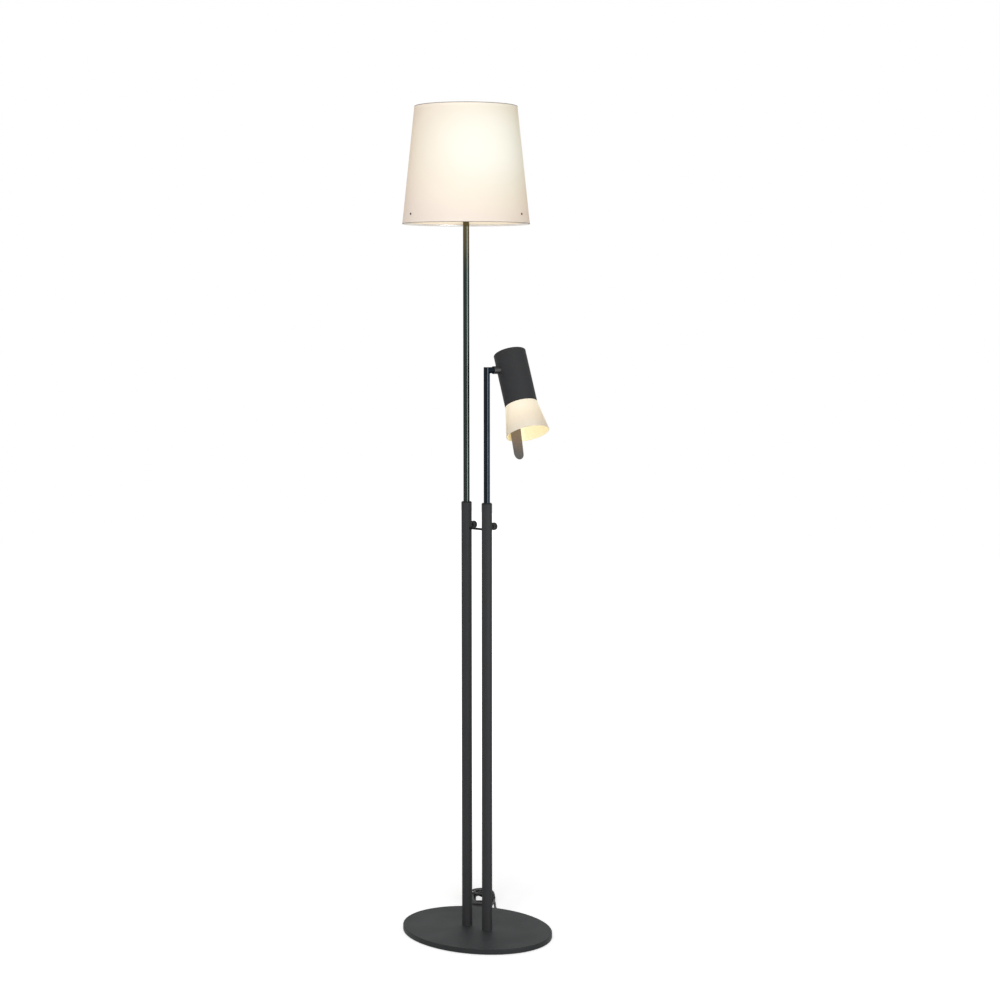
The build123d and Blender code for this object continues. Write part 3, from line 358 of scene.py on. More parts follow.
boot_rubber = finish_of(
    "black boot rubber", (0.02, 0.02, 0.02), variation=0.4, grain=1500, clouds=120,
    roughness=(0.55, 0.75), relief=0.00004,
)
cord_boot = shown("cord_boot", boot_mesh, boot_rubber)
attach(cord_boot, "base")
dress(boot_rubber, "strain_relief")

# Hank tie: a thin strap of black hook-and-loop tape, 9 mm wide, wrapped once round the hank's
# middle and lapped on itself on top.
tie_width = 0.009
tie_along = 0.004
tie_outline = [
    (-0.0255, 0.0009),
    (0.0255, 0.0009),
    (0.0280, 0.0036),
    (0.0282, 0.0090),
    (0.0276, 0.0135),
    (0.0262, 0.0182),
    (0.0225, 0.0200),
    (0.0170, 0.0190),
    (0.0080, 0.0168),
    (-0.0060, 0.0166),
    (-0.0190, 0.0178),
    (-0.0235, 0.0168),
    (-0.0268, 0.0136),
    (-0.0282, 0.0090),
    (-0.0280, 0.0036),
]
tie_thickness = 0.0008
tie = bmesh.new()
tie_near = tie_along - tie_width / 2
tie_ring = [tie.verts.new(in_hank(tie_near, across, height)) for across, height in tie_outline]
tie_rim = [tie.edges.new(pair) for pair in zip(tie_ring[-1:] + tie_ring, tie_ring)]
spread = bmesh.ops.extrude_edge_only(tie, edges=tie_rim)
far_side = [item for item in spread["geom"] if isinstance(item, bmesh.types.BMVert)]
bmesh.ops.translate(tie, verts=far_side, vec=tie_width * hank_way)
bmesh.ops.recalc_face_normals(tie, faces=tie.faces)
bmesh.ops.solidify(tie, geom=tie.faces, thickness=tie_thickness)
tie_mesh = mesh_of("hank_tie", tie)
tie_mesh.shade_smooth()
tie_tape = finish_of(
    "black hook and loop tape", (0.016, 0.016, 0.017), variation=0.7, grain=2600, clouds=300,
    roughness=(0.85, 0.98), relief=0.00015,
)
hank_tie = shown("hank_tie", tie_mesh, tie_tape)
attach(hank_tie, "base")

# Plug: a flat moulded two-pin plug in black plastic, with finger ribs on its tapered shoulders.
# It stands on its edge at the end of the cord; its two pins are round brass.
plug_back = Vector(plug_entry) - 0.003 * hank_way
plug_across = Vector((sin(hank_bearing), -cos(hank_bearing), 0))
plug_thickness = 0.0137
plug_half_outline = [
    (0.0000, 0.0060),
    (0.0035, 0.0072),
    (0.0060, 0.0096),
    (0.0075, 0.0098),
    (0.0090, 0.0122),
    (0.0105, 0.0124),
    (0.0120, 0.0148),
    (0.0135, 0.0150),
    (0.0160, 0.0174),
    (0.0300, 0.0174),
]


def slab(outline, depth, rounding):
    """A flat piece cut to an outline, with the edges of both its faces rounded."""
    shape = bmesh.new()
    cheek = shape.faces.new([shape.verts.new(point) for point in outline])
    grown = bmesh.ops.extrude_face_region(shape, geom=[cheek])
    far_corners = [item for item in grown["geom"] if isinstance(item, bmesh.types.BMVert)]
    bmesh.ops.translate(shape, verts=far_corners, vec=depth)
    bmesh.ops.recalc_face_normals(shape, faces=shape.faces)
    rims = []
    for edge in shape.edges:
        edge_way = (edge.verts[0].co - edge.verts[1].co).normalized()
        if abs(edge_way.dot(depth.normalized())) < 0.5:
            rims.append(edge)
    bmesh.ops.bevel(
        shape,
        geom=rims,
        offset=rounding,
        offset_type="OFFSET",
        segments=3,
        profile=0.5,
        affect="EDGES",
        clamp_overlap=True,
        material=-1,
    )
    return shape


plug_near = plug_back - plug_across * plug_thickness / 2
plug_lower = [plug_near + x * hank_way + Vector((0, 0, -z)) for x, z in plug_half_outline]
plug_upper = [plug_near + x * hank_way + Vector((0, 0, z)) for x, z in plug_half_outline]
plug = slab(plug_lower + plug_upper[::-1], plug_across * plug_thickness, rounding=0.0014)
plug_mesh = mesh_of("plug_moulding", plug)
plug_plastic = finish_of(
    "black plug plastic", (0.02, 0.02, 0.021), variation=0.4, grain=1800, clouds=120,
    roughness=(0.35, 0.5), relief=0.00003,
)
plug_moulding = shown("plug_moulding", plug_mesh, plug_plastic)
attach(plug_moulding, "base")
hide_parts("plug_body")
pin_brass = finish_of(
    "turned brass", (0.62, 0.43, 0.17), variation=0.25, grain=700, clouds=90,
    roughness=(0.18, 0.32), relief=0.00001, metallic=1.0,
)
dress(pin_brass, "plug_pins", "main_lamp_cap", "candle_cap", "main_clamp_pad", "reading_clamp_pad")

# ---------------------------------------------------------------- base
# Base: a heavy oval steel plate with a soft top edge, in fine-textured charcoal powder coat.
# It stands on six felt pads; a thin black cover closes the wiring pocket underneath.
base_paint = finish_of(
    "charcoal powder coat, base", (0.034, 0.037, 0.038), variation=0.45, grain=1400, clouds=14,
    roughness=(0.48, 0.62), relief=0.00010, gloss=0.12,
)
dress(base_paint, "base_plate")
felt = finish_of(
    "grey felt", (0.05, 0.05, 0.048), variation=0.9, grain=2600, clouds=400,
    roughness=(0.9, 1.0), relief=0.0003, gloss=0.1,
)
dress(felt, "base_feet")
cover_steel = finish_of(
    "blackened steel", (0.028, 0.028, 0.029), variation=0.4, grain=900, clouds=40,
    roughness=(0.4, 0.6), relief=0.00003, gloss=0.4,
)
dress(cover_steel, "base_cover", "shade_carrier")
zinc = finish_of(
    "bright zinc plating", (0.60, 0.61, 0.62), variation=0.25, grain=420, clouds=60,
    roughness=(0.24, 0.42), relief=0.00002, metallic=1.0,
)
dress(
    zinc,
    "cover_screws",
    "post_feet",
    "post_nuts",
    "main_rod_clips",
    "reading_rod_clips",
    "nipple_nut",
    "shade_nuts",
    "pivot_tube",
    "pivot_nut",
    "head_bracket",
    "long_screws",
    "handle_screws",
)
white_plastic = finish_of(
    "white glass-filled plastic", (0.74, 0.73, 0.69), variation=0.1, grain=1600, clouds=90,
    roughness=(0.35, 0.5), relief=0.00003,
)
dress(white_plastic, "terminal_block", "turn_switch", "push_switch", "small_lampholder")

# ---------------------------------------------------------------- posts
# Posts: two plain steel tubes side by side, powder coated in matt charcoal with the bar and the
# round clamp bosses welded to them. Moulded sleeves close their tops round the rods.
post_paint = finish_of(
    "charcoal powder coat, posts", (0.040, 0.041, 0.043), variation=0.35, grain=1400, clouds=22,
    roughness=(0.58, 0.74), relief=0.00004, gloss=0.15,
)
dress(post_paint, "main_post_tube", "reading_post_tube")
bar_paint = finish_of(
    "charcoal powder coat, bar", (0.014, 0.014, 0.015), variation=0.35, grain=1400, clouds=40,
    roughness=(0.62, 0.76), relief=0.00008, gloss=0.1,
)
dress(bar_paint, "bridge_bar", "clamp_bosses")
sleeve_nylon = finish_of(
    "black moulded nylon", (0.026, 0.026, 0.027), variation=0.3, grain=1100, clouds=90,
    roughness=(0.6, 0.72), relief=0.00003, gloss=0.12,
)
dress(sleeve_nylon, "guide_bushes", "main_glide", "reading_glide")

# Slack leads in the posts: round black PVC leads from the feet up to the leads in the rods. They
# lie loose in the tubes and give way when a rod slides down. Here they shorten when it goes up
# too, which the posts hide.
for post_name in ("main", "reading"):
    loose_lead = bpy.data.objects[post_name + "_lower_lead"]
    lead_corners = [loose_lead.matrix_world @ Vector(corner) for corner in loose_lead.bound_box]
    lead_foot = Vector(min(corner[i] for corner in lead_corners) for i in range(3))
    lead_head = Vector(max(corner[i] for corner in lead_corners) for i in range(3))
    lead_middle = (lead_foot + lead_head) / 2
    lead_radius = (lead_head.x - lead_foot.x) / 2
    lead_round = bmesh.new()
    bmesh.ops.create_cone(
        lead_round,
        cap_ends=True,
        segments=24,
        radius1=lead_radius,
        radius2=lead_radius,
        depth=lead_head.z - lead_foot.z,
    )
    bmesh.ops.translate(lead_round, verts=lead_round.verts, vec=lead_middle)
    lead_mesh = mesh_of(post_name + "_slack_lead", lead_round)
    slack_lead = shown(post_name + "_slack_lead", lead_mesh, cord_pvc)
    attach(slack_lead, "base")
    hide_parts(post_name + "_lower_lead")
    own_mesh(slack_lead)

# ---------------------------------------------------------------- clamp knobs
# Clamp knobs: turned aluminium screws behind the posts, with a pale smooth collar and a dark
# knurled grip. Screwed in, they press a brass pad on the rod and hold its height.
grip_start = 0.0170
collar_grey = (0.036, 0.036, 0.034, 1)
knob_metal = finish_of(
    "olive black anodised grip", (0.013, 0.0135, 0.011), variation=0.5, grain=900, clouds=120,
    roughness=(0.4, 0.55), relief=0.00003, gloss=0.25,
)
knob_nodes, knob_join = knob_metal.node_tree.nodes, knob_metal.node_tree.links.new
knob_place = knob_nodes.new("ShaderNodeTexCoord")
knob_depth = knob_nodes.new("ShaderNodeSeparateXYZ")
on_collar = math_node(knob_nodes, "LESS_THAN", second=grip_start + 0.0002)
collar_mix = knob_nodes.new("ShaderNodeMix")
collar_mix.data_type = "RGBA"
collar_mix.inputs[7].default_value = collar_grey
knob_join(knob_place.outputs["Object"], knob_depth.inputs[0])
knob_join(knob_depth.outputs["Y"], on_collar.inputs[0])
knob_join(on_collar.outputs[0], collar_mix.inputs[0])
knob_grain = next(node for node in knob_nodes if node.type == "GROUP")
knob_join(knob_grain.outputs["Colour"], collar_mix.inputs[6])
knob_join(collar_mix.outputs[2], knob_nodes["Principled BSDF"].inputs["Base Color"])
dress(knob_metal, "main_clamp_knob", "reading_clamp_knob")

# ---------------------------------------------------------------- rods
# Rods: thin steel tubes in smoked chrome that slide in the posts. Polishing leaves very fine
# lines along them. The reading rod ends in a short arm for the head.
chrome_edge = (0.52, 0.53, 0.55, 1)
# The two rods get different base tints, greenish and paler for the main rod, darker and bluish for
# the reading rod: painted reflection, not two kinds of chrome.
main_chrome = finish_of(
    "smoked chrome, main rod, painted greenish reflection", (0.024, 0.034, 0.031), variation=0.25, grain=60, clouds=9,
    roughness=(0.06, 0.13), relief=0.000003, metallic=1.0,
)
dress(main_chrome, "main_rod")
reading_chrome = finish_of(
    "smoked chrome, reading rod, painted bluish reflection", (0.013, 0.018, 0.023), variation=0.25, grain=60, clouds=9,
    roughness=(0.06, 0.13), relief=0.000003, metallic=1.0,
)
dress(reading_chrome, "reading_rod")
for chrome in (main_chrome, reading_chrome):
    chrome.node_tree.nodes["Principled BSDF"].inputs["Specular Tint"].default_value = chrome_edge
collar_black = finish_of(
    "black collar enamel", (0.022, 0.023, 0.024), variation=0.3, grain=1200, clouds=60,
    roughness=(0.38, 0.5), relief=0.00003, gloss=0.4,
)
dress(collar_black, "pivot_collar")

# ---------------------------------------------------------------- shade
# Shade: a conical drum of off-white fabric laminated on clear plastic sheet, lapped and glued in
# one seam at the rear, with turned hems over the wire rings in both rims.
shade_axis = Vector((-0.026, 0, 0))
shade_bottom = 1.3770
shade_top = 1.5980
shade_bottom_radius = 0.1215
shade_top_radius = 0.0977
lamp_place = (-0.026, 0.0, 1.4965)
# The shade's glow is painted as emission, brightest round this centre: 43 mm off the lamp's axis,
# towards the camera and to its right, and 17.5 mm above the lamp's place. It turns with the shade.
painted_glow_centre = (0.0165, -0.0095, 1.514)
painted_glow_reach = 0.25
lining_painted_light_reach = 0.20
rod_painted_reflection_reach = 0.22
painted_glow_steps = [
    (0.20, (0.50, 0.50, 0.40)),
    (0.34, (0.40, 0.36, 0.25)),
    (0.44, (0.38, 0.31, 0.19)),
    (0.54, (0.38, 0.28, 0.17)),
    (0.64, (0.33, 0.24, 0.16)),
    (0.76, (0.31, 0.22, 0.145)),
    (0.92, (0.28, 0.20, 0.13)),
]
lining_painted_light_steps = [
    (0.40, (0.60, 0.53, 0.40)),
    (0.70, (0.48, 0.39, 0.28)),
    (1.00, (0.36, 0.28, 0.20)),
]
rod_painted_reflection_steps = [
    (0.54, (0.085, 0.052, 0.010)),
    (0.74, (0.060, 0.038, 0.012)),
    (0.86, (0.02, 0.012, 0.006)),
    (1.00, (0, 0, 0)),
]


def lamp_fall():
    """How far a point is from a lamp, as a share of the reach of its light."""
    group, given, result = effect_group(
        "lamp fall",
        [("Place", "Vector"), ("Lamp", "Vector"), ("Reach", "Float")],
        [("Fall", "Float")],
    )
    nodes, join = group.nodes, group.links.new
    away = nodes.new("ShaderNodeVectorMath")
    away.operation = "DISTANCE"
    join(given.outputs["Place"], away.inputs[0])
    join(given.outputs["Lamp"], away.inputs[1])
    share = math_node(nodes, "DIVIDE")
    join(away.outputs["Value"], share.inputs[0])
    join(given.outputs["Reach"], share.inputs[1])
    join(share.outputs[0], result.inputs["Fall"])
    return group


lamp_fall_group = lamp_fall()


def paint_lamp_light(material, lamp, reach, steps):
    """Adds a lamp's light as emission fading from a point: the lamp's own light on its glass,
    painted light on anything else; steps are (share of the reach, colour).
    """
    nodes, join = material.node_tree.nodes, material.node_tree.links.new
    shader = nodes["Principled BSDF"]
    place = nodes.new("ShaderNodeTexCoord")
    fall = nodes.new("ShaderNodeGroup")
    fall.node_tree = lamp_fall_group
    fall.inputs["Lamp"].default_value = lamp
    fall.inputs["Reach"].default_value = reach
    join(place.outputs["Object"], fall.inputs["Place"])
    ramp = nodes.new("ShaderNodeValToRGB")
    ramp.color_ramp.interpolation = "B_SPLINE"
    while len(ramp.color_ramp.elements) < len(steps):
        ramp.color_ramp.elements.new(0.5)
    for element, (share, colour) in zip(ramp.color_ramp.elements, steps):
        element.position = share
        element.color = (*colour, 1)
    join(fall.outputs["Fall"], ramp.inputs["Fac"])
    join(ramp.outputs["Color"], shader.inputs["Emission Color"])
    shader.inputs["Emission Strength"].default_value = 1.0


def weave():
    """A plain weave round an upright axis, of threads round it and threads along it."""
    group, given, result = effect_group(
        "plain weave",
        [("Place", "Vector"), ("Threads round", "Float"), ("Threads up", "Float")],
        [("Height", "Float")],
    )
    nodes, join = group.nodes, group.links.new
    parts = nodes.new("ShaderNodeSeparateXYZ")
    join(given.outputs["Place"], parts.inputs[0])
    bearing = math_node(nodes, "ARCTAN2")
    join(parts.outputs["Y"], bearing.inputs[0])
    join(parts.outputs["X"], bearing.inputs[1])
    waves = []
    ways = ((bearing.outputs[0], "Threads round"), (parts.outputs["Z"], "Threads up"))
    for source, threads in ways:
        count = math_node(nodes, "MULTIPLY")
        join(source, count.inputs[0])
        join(given.outputs[threads], count.inputs[1])
        wave = math_node(nodes, "SINE")
        join(count.outputs[0], wave.inputs[0])
        waves.append(wave)
    crossed = math_node(nodes, "MULTIPLY")
    join(waves[0].outputs[0], crossed.inputs[0])
    join(waves[1].outputs[0], crossed.inputs[1])
    height = math_node(nodes, "MULTIPLY_ADD", second=0.5, third=0.5)
    join(crossed.outputs[0], height.inputs[0])
    join(height.outputs[0], result.inputs["Height"])
    return group


weave_group = weave()


def woven(material, threads_round, threads_up, relief):
    """Replaces a finish's bumps with the threads of a cloth round the shade's axis."""
    nodes, join = material.node_tree.nodes, material.node_tree.links.new
    place = nodes.new("ShaderNodeTexCoord")
    centred = nodes.new("ShaderNodeMapping")
    centred.inputs["Location"].default_value = tuple(-shade_axis)
    cloth = nodes.new("ShaderNodeGroup")
    cloth.node_tree = weave_group
    cloth.inputs["Threads round"].default_value = threads_round
    cloth.inputs["Threads up"].default_value = threads_up
    join(place.outputs["Object"], centred.inputs["Vector"])
    join(centred.outputs[0], cloth.inputs["Place"])
    bump = next(node for node in nodes if node.type == "BUMP")
    bump.inputs["Distance"].default_value = relief
    join(cloth.outputs["Height"], bump.inputs["Height"])


shade_cloth = finish_of(
    "off-white shade cloth", (0.72, 0.70, 0.68), variation=0.06, grain=900, clouds=18,
    roughness=(0.75, 0.9), relief=0.00002, gloss=0.2,
)
woven(shade_cloth, threads_round=620, threads_up=11000, relief=0.00006)
# Painted glow: the light through the cloth is emission on the cloth itself.
paint_lamp_light(shade_cloth, painted_glow_centre, painted_glow_reach, painted_glow_steps)
# The lining's light is painted as emission that fades from the lamp's place.
shade_lining = finish_of(
    "white shade lining", (0.74, 0.73, 0.70), variation=0.05, grain=900, clouds=25,
    roughness=(0.45, 0.6), relief=0.00002, gloss=0.3,
)
paint_lamp_light(shade_lining, lamp_place, lining_painted_light_reach, lining_painted_light_steps)
# Painted reflection: a warm bronze emission on the main rod's top, for the shade's light mirrored
# in the chrome.
paint_lamp_light(main_chrome, lamp_place, rod_painted_reflection_reach, rod_painted_reflection_steps)


def wall_radius(height, inwards):
    """The shade's radius at a height, less a depth into its wall."""
    slope = (shade_bottom_radius - shade_top_radius) / (shade_top - shade_bottom)
    return shade_bottom_radius - slope * (height - shade_bottom) - inwards


def spin_round(shape, points, closed, centre, axis, facets):
    """Spins a line of points once round an axis; a closed line ends where it starts."""
    line = [shape.verts.new(point) for point in points]
    pairs = zip(line[-1:] + line, line) if closed else zip(line, line[1:])
    edges = [shape.edges.new(pair) for pair in pairs]
    bmesh.ops.spin(
        shape,
        geom=line + edges,
        cent=centre,
        axis=axis,
        angle=2 * pi,
        steps=facets,
        use_merge=True,
    )


def close_seams(shape):
    """Merges the points that spinning left double, and turns the faces outwards."""
    bmesh.ops.remove_doubles(shape, verts=shape.verts, dist=0.000005)
    bmesh.ops.recalc_face_normals(shape, faces=shape.faces)


hem = 0.007
shade_profile = [
    (wall_radius(1.3773, 0.0012), 1.3773),
    (wall_radius(1.3770, 0.0008), 1.3770),
    (wall_radius(1.3770, 0.0004), 1.3770),
    (wall_radius(1.3773, 0.0), 1.3773),
    (wall_radius(1.3782, 0.0), 1.3782),
    (wall_radius(shade_bottom + hem, 0.0), shade_bottom + hem),
    (wall_radius(shade_bottom + hem, 0.0002), shade_bottom + hem + 0.0002),
    (wall_radius(shade_top - hem, 0.0002), shade_top - hem - 0.0002),
    (wall_radius(shade_top - hem, 0.0), shade_top - hem),
    (wall_radius(1.5966, 0.0), 1.5966),
    (wall_radius(1.5977, 0.0), 1.5977),
    (wall_radius(1.5980, 0.0004), 1.5980),
    (wall_radius(1.5980, 0.0008), 1.5980),
    (wall_radius(1.5977, 0.0012), 1.5977),
    (wall_radius(shade_top - hem, 0.0012), shade_top - hem),
    (wall_radius(shade_top - hem, 0.0010), shade_top - hem - 0.0002),
    (wall_radius(shade_bottom + hem, 0.0010), shade_bottom + hem + 0.0002),
    (wall_radius(shade_bottom + hem, 0.0012), shade_bottom + hem),
]
shade_spin = bmesh.new()
shade_points = [shade_axis + Vector((radius, 0, height)) for radius, height in shade_profile]
spin_round(shade_spin, shade_points, closed=True, centre=shade_axis, axis=(0, 0, 1), facets=144)
close_seams(shade_spin)
seam_bearing = radians(131.5)
seam_half_width = radians(3)
seam_lift = 0.00018
lower_painted_rim = 1.3782
upper_painted_rim = 1.5966
seam_way = Vector((cos(seam_bearing), sin(seam_bearing), 0))
for vertex in shade_spin.verts:
    outwards = vertex.co - shade_axis
    outwards.z = 0
    inside = wall_radius(vertex.co.z, 0) - outwards.length
    in_seam = outwards.normalized().dot(seam_way) > cos(seam_half_width)
    if in_seam and 0.0001 < inside < 0.0003:
        vertex.co += seam_lift * outwards.normalized()
for face in shade_spin.faces:
    outwards = face.calc_center_median() - shade_axis
    outwards.z = 0
    if face.normal.dot(outwards.normalized()) < -0.5:
        face.material_index = 1
    if not lower_painted_rim < face.calc_center_median().z < upper_painted_rim:
        face.material_index = 2
shade_mesh = mesh_of("shade_drum", shade_spin)
shade_mesh.shade_smooth()
shade_drum = shown("shade_drum", shade_mesh, shade_cloth)
shade_mesh.materials.append(shade_lining)
# Painted shade: the rims' faces get a darker brown-grey with no emission, for the thin edges that
# the light doesn't reach.
rim_painted_shade = finish_of(
    "shade rims, painted shade", (0.40, 0.35, 0.32), variation=0.3, grain=1500, clouds=60,
    roughness=(0.8, 0.95), relief=0.00005, gloss=0.2,
)
shade_mesh.materials.append(rim_painted_shade)
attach(shade_drum, "main_stem")
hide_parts("main_shade")
dress(zinc, "shade_rings")

# Shade screws: three small blackened pan-head screws with a round recess, put in from outside
# through the cloth and the carrier's tabs, near the lower rim.
screw_height = 1.394
screw_profile = [
    (0.0, -0.0080),
    (0.00130, -0.0080),
    (0.00145, -0.0078),
    (0.00145, 0.0),
    (0.00215, 0.0),
    (0.00215, 0.0005),
    (0.00195, 0.0010),
    (0.00150, 0.0013),
    (0.00080, 0.0014),
    (0.00080, 0.0008),
    (0.0, 0.0007),
]
wall_slant = 0.1077
screw_bearings = (radians(12), radians(132), radians(252))
screw_spin = bmesh.new()
for bearing in screw_bearings:
    screw_out = Vector((cos(bearing), sin(bearing), 0))
    screw_way = (screw_out + Vector((0, 0, wall_slant))).normalized()
    screw_seat = shade_axis + wall_radius(screw_height, 0) * screw_out
    screw_seat += Vector((0, 0, screw_height))
    screw_side = screw_way.orthogonal().normalized()
    screw_points = [
        screw_seat + radius * screw_side + depth * screw_way for radius, depth in screw_profile
    ]
    spin_round(screw_spin, screw_points, closed=False, centre=screw_seat, axis=screw_way, facets=28)
close_seams(screw_spin)
screw_mesh = mesh_of("shade_pan_screws", screw_spin)
shade_pan_screws = shown("shade_pan_screws", screw_mesh, cover_steel)
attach(shade_pan_screws, "main_stem")
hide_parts("shade_screws")

# ---------------------------------------------------------------- main lamp
# Main lamp: a frosted pear-shaped glass lamp in a black plastic lampholder with a turn switch.
# The lampholder stands on the threaded end of the rod, which also holds the shade's carrier.
holder_plastic = finish_of(
    "black phenolic plastic", (0.016, 0.016, 0.017), variation=0.3, grain=800, clouds=60,
    roughness=(0.25, 0.36), relief=0.00002,
)
dress(holder_plastic, "holder_cap", "holder_skirt", "switch_knob", "pivot_saddle")
frosted_glass = finish_of(
    "frosted lamp glass", (0.80, 0.79, 0.74), variation=0.05, grain=900, clouds=60,
    roughness=(0.3, 0.42), relief=0.00001,
)
bulb_steps = [(0.3, (2.2, 1.85, 1.3)), (0.6, (2.0, 1.65, 1.1)), (1.0, (1.1, 0.85, 0.55))]
paint_lamp_light(frosted_glass, lamp_place, reach=0.06, steps=bulb_steps)
dress(frosted_glass, "main_lamp_glass")

# ---------------------------------------------------------------- reading head
# Reading head: a straight aluminium tube, powder coated in matt charcoal, on a thick pivot collar.
# A disc let into its upper end carries the push button.
head_paint = finish_of(
    "charcoal powder coat, head", (0.038, 0.039, 0.041), variation=0.35, grain=1500, clouds=30,
    roughness=(0.58, 0.74), relief=0.00008, gloss=0.15,
)
dress(head_paint, "head_shell")
cap_plastic = finish_of(
    "black cap plastic", (0.020, 0.020, 0.021), variation=0.3, grain=1200, clouds=60,
    roughness=(0.4, 0.55), relief=0.00003, gloss=0.4,
)
dress(cap_plastic, "head_end_cap", "push_button")

pivot = Vector((0.046113, 0.054081, 1.1006))
arm_way = Vector((0.348572, 0.937282, 0))
head_up = Vector((-0.402033, 0.149515, 0.903335))
candle_place = pivot - 0.070 * head_up
candle_glass = finish_of(
    "frosted candle glass", (0.80, 0.79, 0.74), variation=0.05, grain=900, clouds=60,
    roughness=(0.3, 0.42), relief=0.00001,
)
candle_steps = [(0.3, (1.5, 1.2, 0.8)), (1.0, (1.0, 0.75, 0.45))]
paint_lamp_light(candle_glass, candle_place, reach=0.05, steps=candle_steps)
dress(candle_glass, "candle_glass")

# ---------------------------------------------------------------- diffuser
# Diffuser: a blown opal cone whose straight neck pushes into the head's lower end.
# Its mouth is open and its rim is rounded over.
opal_painted_glow_reach = 0.08
diffuser_profile = [
    (0.02965, -0.0634),
    (0.02965, -0.0724),
    (0.03105, -0.0726),
    (0.0312, -0.0732),
    (0.0416, -0.1310),
    (0.0414, -0.1316),
    (0.0408, -0.1318),
    (0.0402, -0.1316),
    (0.0399, -0.1310),
    (0.0290, -0.0728),
    (0.02765, -0.0722),
    (0.02765, -0.0634),
]
diffuser_spin = bmesh.new()
diffuser_points = [pivot + radius * arm_way + level * head_up for radius, level in diffuser_profile]
spin_round(diffuser_spin, diffuser_points, closed=True, centre=pivot, axis=head_up, facets=96)
close_seams(diffuser_spin)
for face in diffuser_spin.faces:
    outwards = face.calc_center_median() - pivot
    outwards -= outwards.dot(head_up) * head_up
    if face.normal.dot(outwards.normalized()) < -0.3:
        face.material_index = 1
diffuser_mesh = mesh_of("diffuser_cone", diffuser_spin)
diffuser_mesh.shade_smooth()
opal = finish_of(
    "opal diffuser", (0.70, 0.68, 0.62), variation=0.05, grain=700, clouds=40,
    roughness=(0.25, 0.4), relief=0.00002,
)
# The diffuser's glow, outside and inside, is painted as emission fading from the candle lamp's
# place.
opal_painted_glow_steps = [
    (0.38, (0.46, 0.38, 0.24)),
    (0.55, (0.41, 0.30, 0.15)),
    (0.75, (0.26, 0.18, 0.07)),
    (1.00, (0.18, 0.12, 0.05)),
]
paint_lamp_light(opal, candle_place, opal_painted_glow_reach, opal_painted_glow_steps)
opal_inside = finish_of(
    "opal diffuser, inside", (0.70, 0.68, 0.60), variation=0.05, grain=700, clouds=40,
    roughness=(0.35, 0.5), relief=0.00002,
)
inside_painted_glow_steps = [
    (0.38, (0.64, 0.52, 0.32)),
    (0.75, (0.52, 0.40, 0.19)),
    (1.00, (0.44, 0.34, 0.11)),
]
paint_lamp_light(opal_inside, candle_place, opal_painted_glow_reach, inside_painted_glow_steps)
diffuser_cone = shown("diffuser_cone", diffuser_mesh, opal)
diffuser_mesh.materials.append(opal_inside)
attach(diffuser_cone, "reading_head")
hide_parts("diffuser")

# ---------------------------------------------------------------- handle
# Handle: a flat metal tongue screwed inside the head, wide and round where it comes out of the
# diffuser. It is enamelled grey, and the hand turns the head with it.
handle_thickness = 0.0024
head_side = Vector((-0.8467, 0.3149, -0.4289))
handle_bearing = radians(104.6)
handle_out = arm_way * cos(handle_bearing) + head_side * sin(handle_bearing)
handle_across = head_side * cos(handle_bearing) - arm_way * sin(handle_bearing)
handle_down = (0.11 * handle_out - head_up).normalized()
handle_face = handle_down.cross(handle_across).normalized()
handle_middle = pivot - 0.1318 * head_up + 0.032 * handle_out
handle_half = [
    (0.0055, 0.0879),
    (0.0055, 0.0460),
    (0.0057, 0.0430),
    (0.0068, 0.0385),
    (0.0095, 0.0325),
    (0.0122, 0.0270),
    (0.0133, 0.0230),
    (0.0135, 0.0200),
    (0.0120, -0.0265),
]
handle_tip_radius = 0.012
handle_tip_level = -0.0265
handle_tip_facets = 16
handle_up = handle_face.cross(handle_across).normalized()
if handle_up.dot(head_up) < 0:
    handle_up = -handle_up
handle_outline = list(handle_half)
for step in range(1, handle_tip_facets):
    sweep = pi * step / handle_tip_facets
    tip_level = handle_tip_level - handle_tip_radius * sin(sweep)
    handle_outline.append((handle_tip_radius * cos(sweep), tip_level))
handle_outline += [(-x, y) for x, y in reversed(handle_half)]
handle_near = handle_middle - handle_face * handle_thickness / 2
handle_points = [handle_near + x * handle_across + y * handle_up for x, y in handle_outline]
handle_slab = slab(handle_points, handle_face * handle_thickness, rounding=0.0008)
handle_mesh = mesh_of("handle_tongue", handle_slab)
handle_enamel = finish_of(
    "grey enamel, handle", (0.092, 0.092, 0.093), variation=0.25, grain=900, clouds=60,
    roughness=(0.42, 0.58), relief=0.00004, gloss=0.4,
)
# Painted light: a warm emission on the handle near the candle lamp, fading to none further down,
# for the diffuser's light falling on it.
handle_painted_light_steps = [
    (0.55, (0.12, 0.07, 0.03)),
    (0.70, (0.075, 0.035, 0.015)),
    (0.82, (0.02, 0.01, 0.004)),
    (0.95, (0, 0, 0)),
]
paint_lamp_light(handle_enamel, candle_place, reach=0.11, steps=handle_painted_light_steps)
handle_tongue = shown("handle_tongue", handle_mesh, handle_enamel)
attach(handle_tongue, "reading_head")
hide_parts("handle")

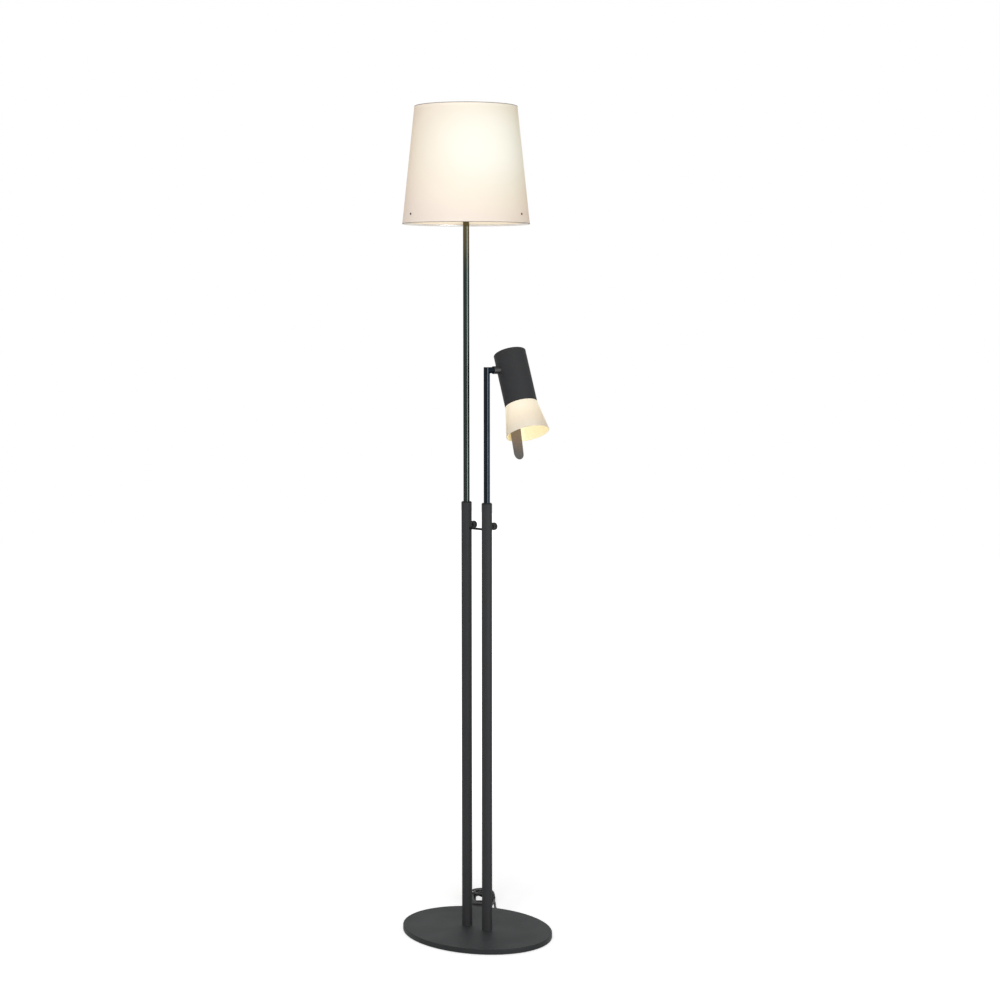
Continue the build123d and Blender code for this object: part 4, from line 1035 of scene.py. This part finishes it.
# ---------------------------------------------------------------- room
# Room: a plain white floor that keeps a faint shadow, a white surround and two lamps: a large
# soft one near the camera, and a tall strip that only draws the bright lines on the rods.
floor_half = 6.0
floor_bmesh = bmesh.new()
bmesh.ops.create_grid(floor_bmesh, x_segments=8, y_segments=8, size=floor_half)
floor_mesh = mesh_of("floor", floor_bmesh)
floor_paint = bpy.data.materials.new("white studio floor")
floor_paint.use_nodes = True
floor_nodes, floor_join = floor_paint.node_tree.nodes, floor_paint.node_tree.links.new
floor_shader = floor_nodes["Principled BSDF"]
floor_shader.inputs["Base Color"].default_value = (0.80, 0.80, 0.80, 1)
floor_shader.inputs["Roughness"].default_value = 0.9
floor_shader.inputs["Specular IOR Level"].default_value = 0.0
floor_rays = floor_nodes.new("ShaderNodeLightPath")
floor_seen = math_node(floor_nodes, "MAXIMUM")
floor_join(floor_rays.outputs["Is Camera Ray"], floor_seen.inputs[0])
floor_join(floor_rays.outputs["Is Glossy Ray"], floor_seen.inputs[1])
floor_place = floor_nodes.new("ShaderNodeTexCoord")
floor_away = floor_nodes.new("ShaderNodeVectorMath")
floor_away.operation = "LENGTH"
floor_join(floor_place.outputs["Object"], floor_away.inputs[0])
floor_lift = floor_nodes.new("ShaderNodeMapRange")
floor_lift.inputs["From Min"].default_value = 0.3
floor_lift.inputs["From Max"].default_value = 1.4
floor_lift.inputs["To Min"].default_value = 0.63
floor_lift.inputs["To Max"].default_value = 1.0
floor_join(floor_away.outputs["Value"], floor_lift.inputs["Value"])
floor_level = math_node(floor_nodes, "MULTIPLY")
floor_join(floor_seen.outputs[0], floor_level.inputs[0])
floor_join(floor_lift.outputs["Result"], floor_level.inputs[1])
floor_shader.inputs["Emission Color"].default_value = (1, 1, 1, 1)
floor_join(floor_level.outputs[0], floor_shader.inputs["Emission Strength"])
floor = shown("floor", floor_mesh, floor_paint)

scene.view_settings.view_transform = "Standard"
world = bpy.data.worlds.new("white surround")
scene.world = world
world.use_nodes = True
air, air_join = world.node_tree.nodes, world.node_tree.links.new
surround = air["Background"]
surround.inputs["Color"].default_value = (1, 1, 1, 1)
rays = air.new("ShaderNodeLightPath")
seen = math_node(air, "MAXIMUM")
seen_through = math_node(air, "MAXIMUM")
level = air.new("ShaderNodeMapRange")
level.inputs["To Min"].default_value = 0.28
level.inputs["To Max"].default_value = 1.0
air_join(rays.outputs["Is Camera Ray"], seen.inputs[0])
air_join(rays.outputs["Is Glossy Ray"], seen.inputs[1])
air_join(seen.outputs[0], seen_through.inputs[0])
air_join(rays.outputs["Is Transmission Ray"], seen_through.inputs[1])
air_join(seen_through.outputs[0], level.inputs["Value"])
air_join(level.outputs["Result"], surround.inputs["Strength"])


def soft_lamp(name, place, aim, size, power, in_gloss, in_shade=True):
    """A rectangular studio lamp that faces a point, and whether gloss and matt surfaces show it."""
    light = bpy.data.lights.new(name, "AREA")
    light.shape = "RECTANGLE"
    light.size, light.size_y = size
    light.energy = power
    lamp = bpy.data.objects.new(name, light)
    lamp.location = place
    lamp.rotation_euler = (Vector(aim) - Vector(place)).to_track_quat("-Z", "Y").to_euler()
    lamp.visible_camera = False
    lamp.visible_glossy = in_gloss
    lamp.visible_diffuse = in_shade
    scene.collection.objects.link(lamp)


soft_lamp(
    "front_softbox",
    place=(1.85, -2.54, 2.2),
    aim=(0, 0, 0.85),
    size=(1.4, 1.8),
    power=62,
    in_gloss=False,
)
soft_lamp(
    "right_strip",
    place=(2.74, -0.46, 0.95),
    aim=(0, 0, 0.95),
    size=(0.8, 2.6),
    power=110,
    in_gloss=True,
    in_shade=False,
)
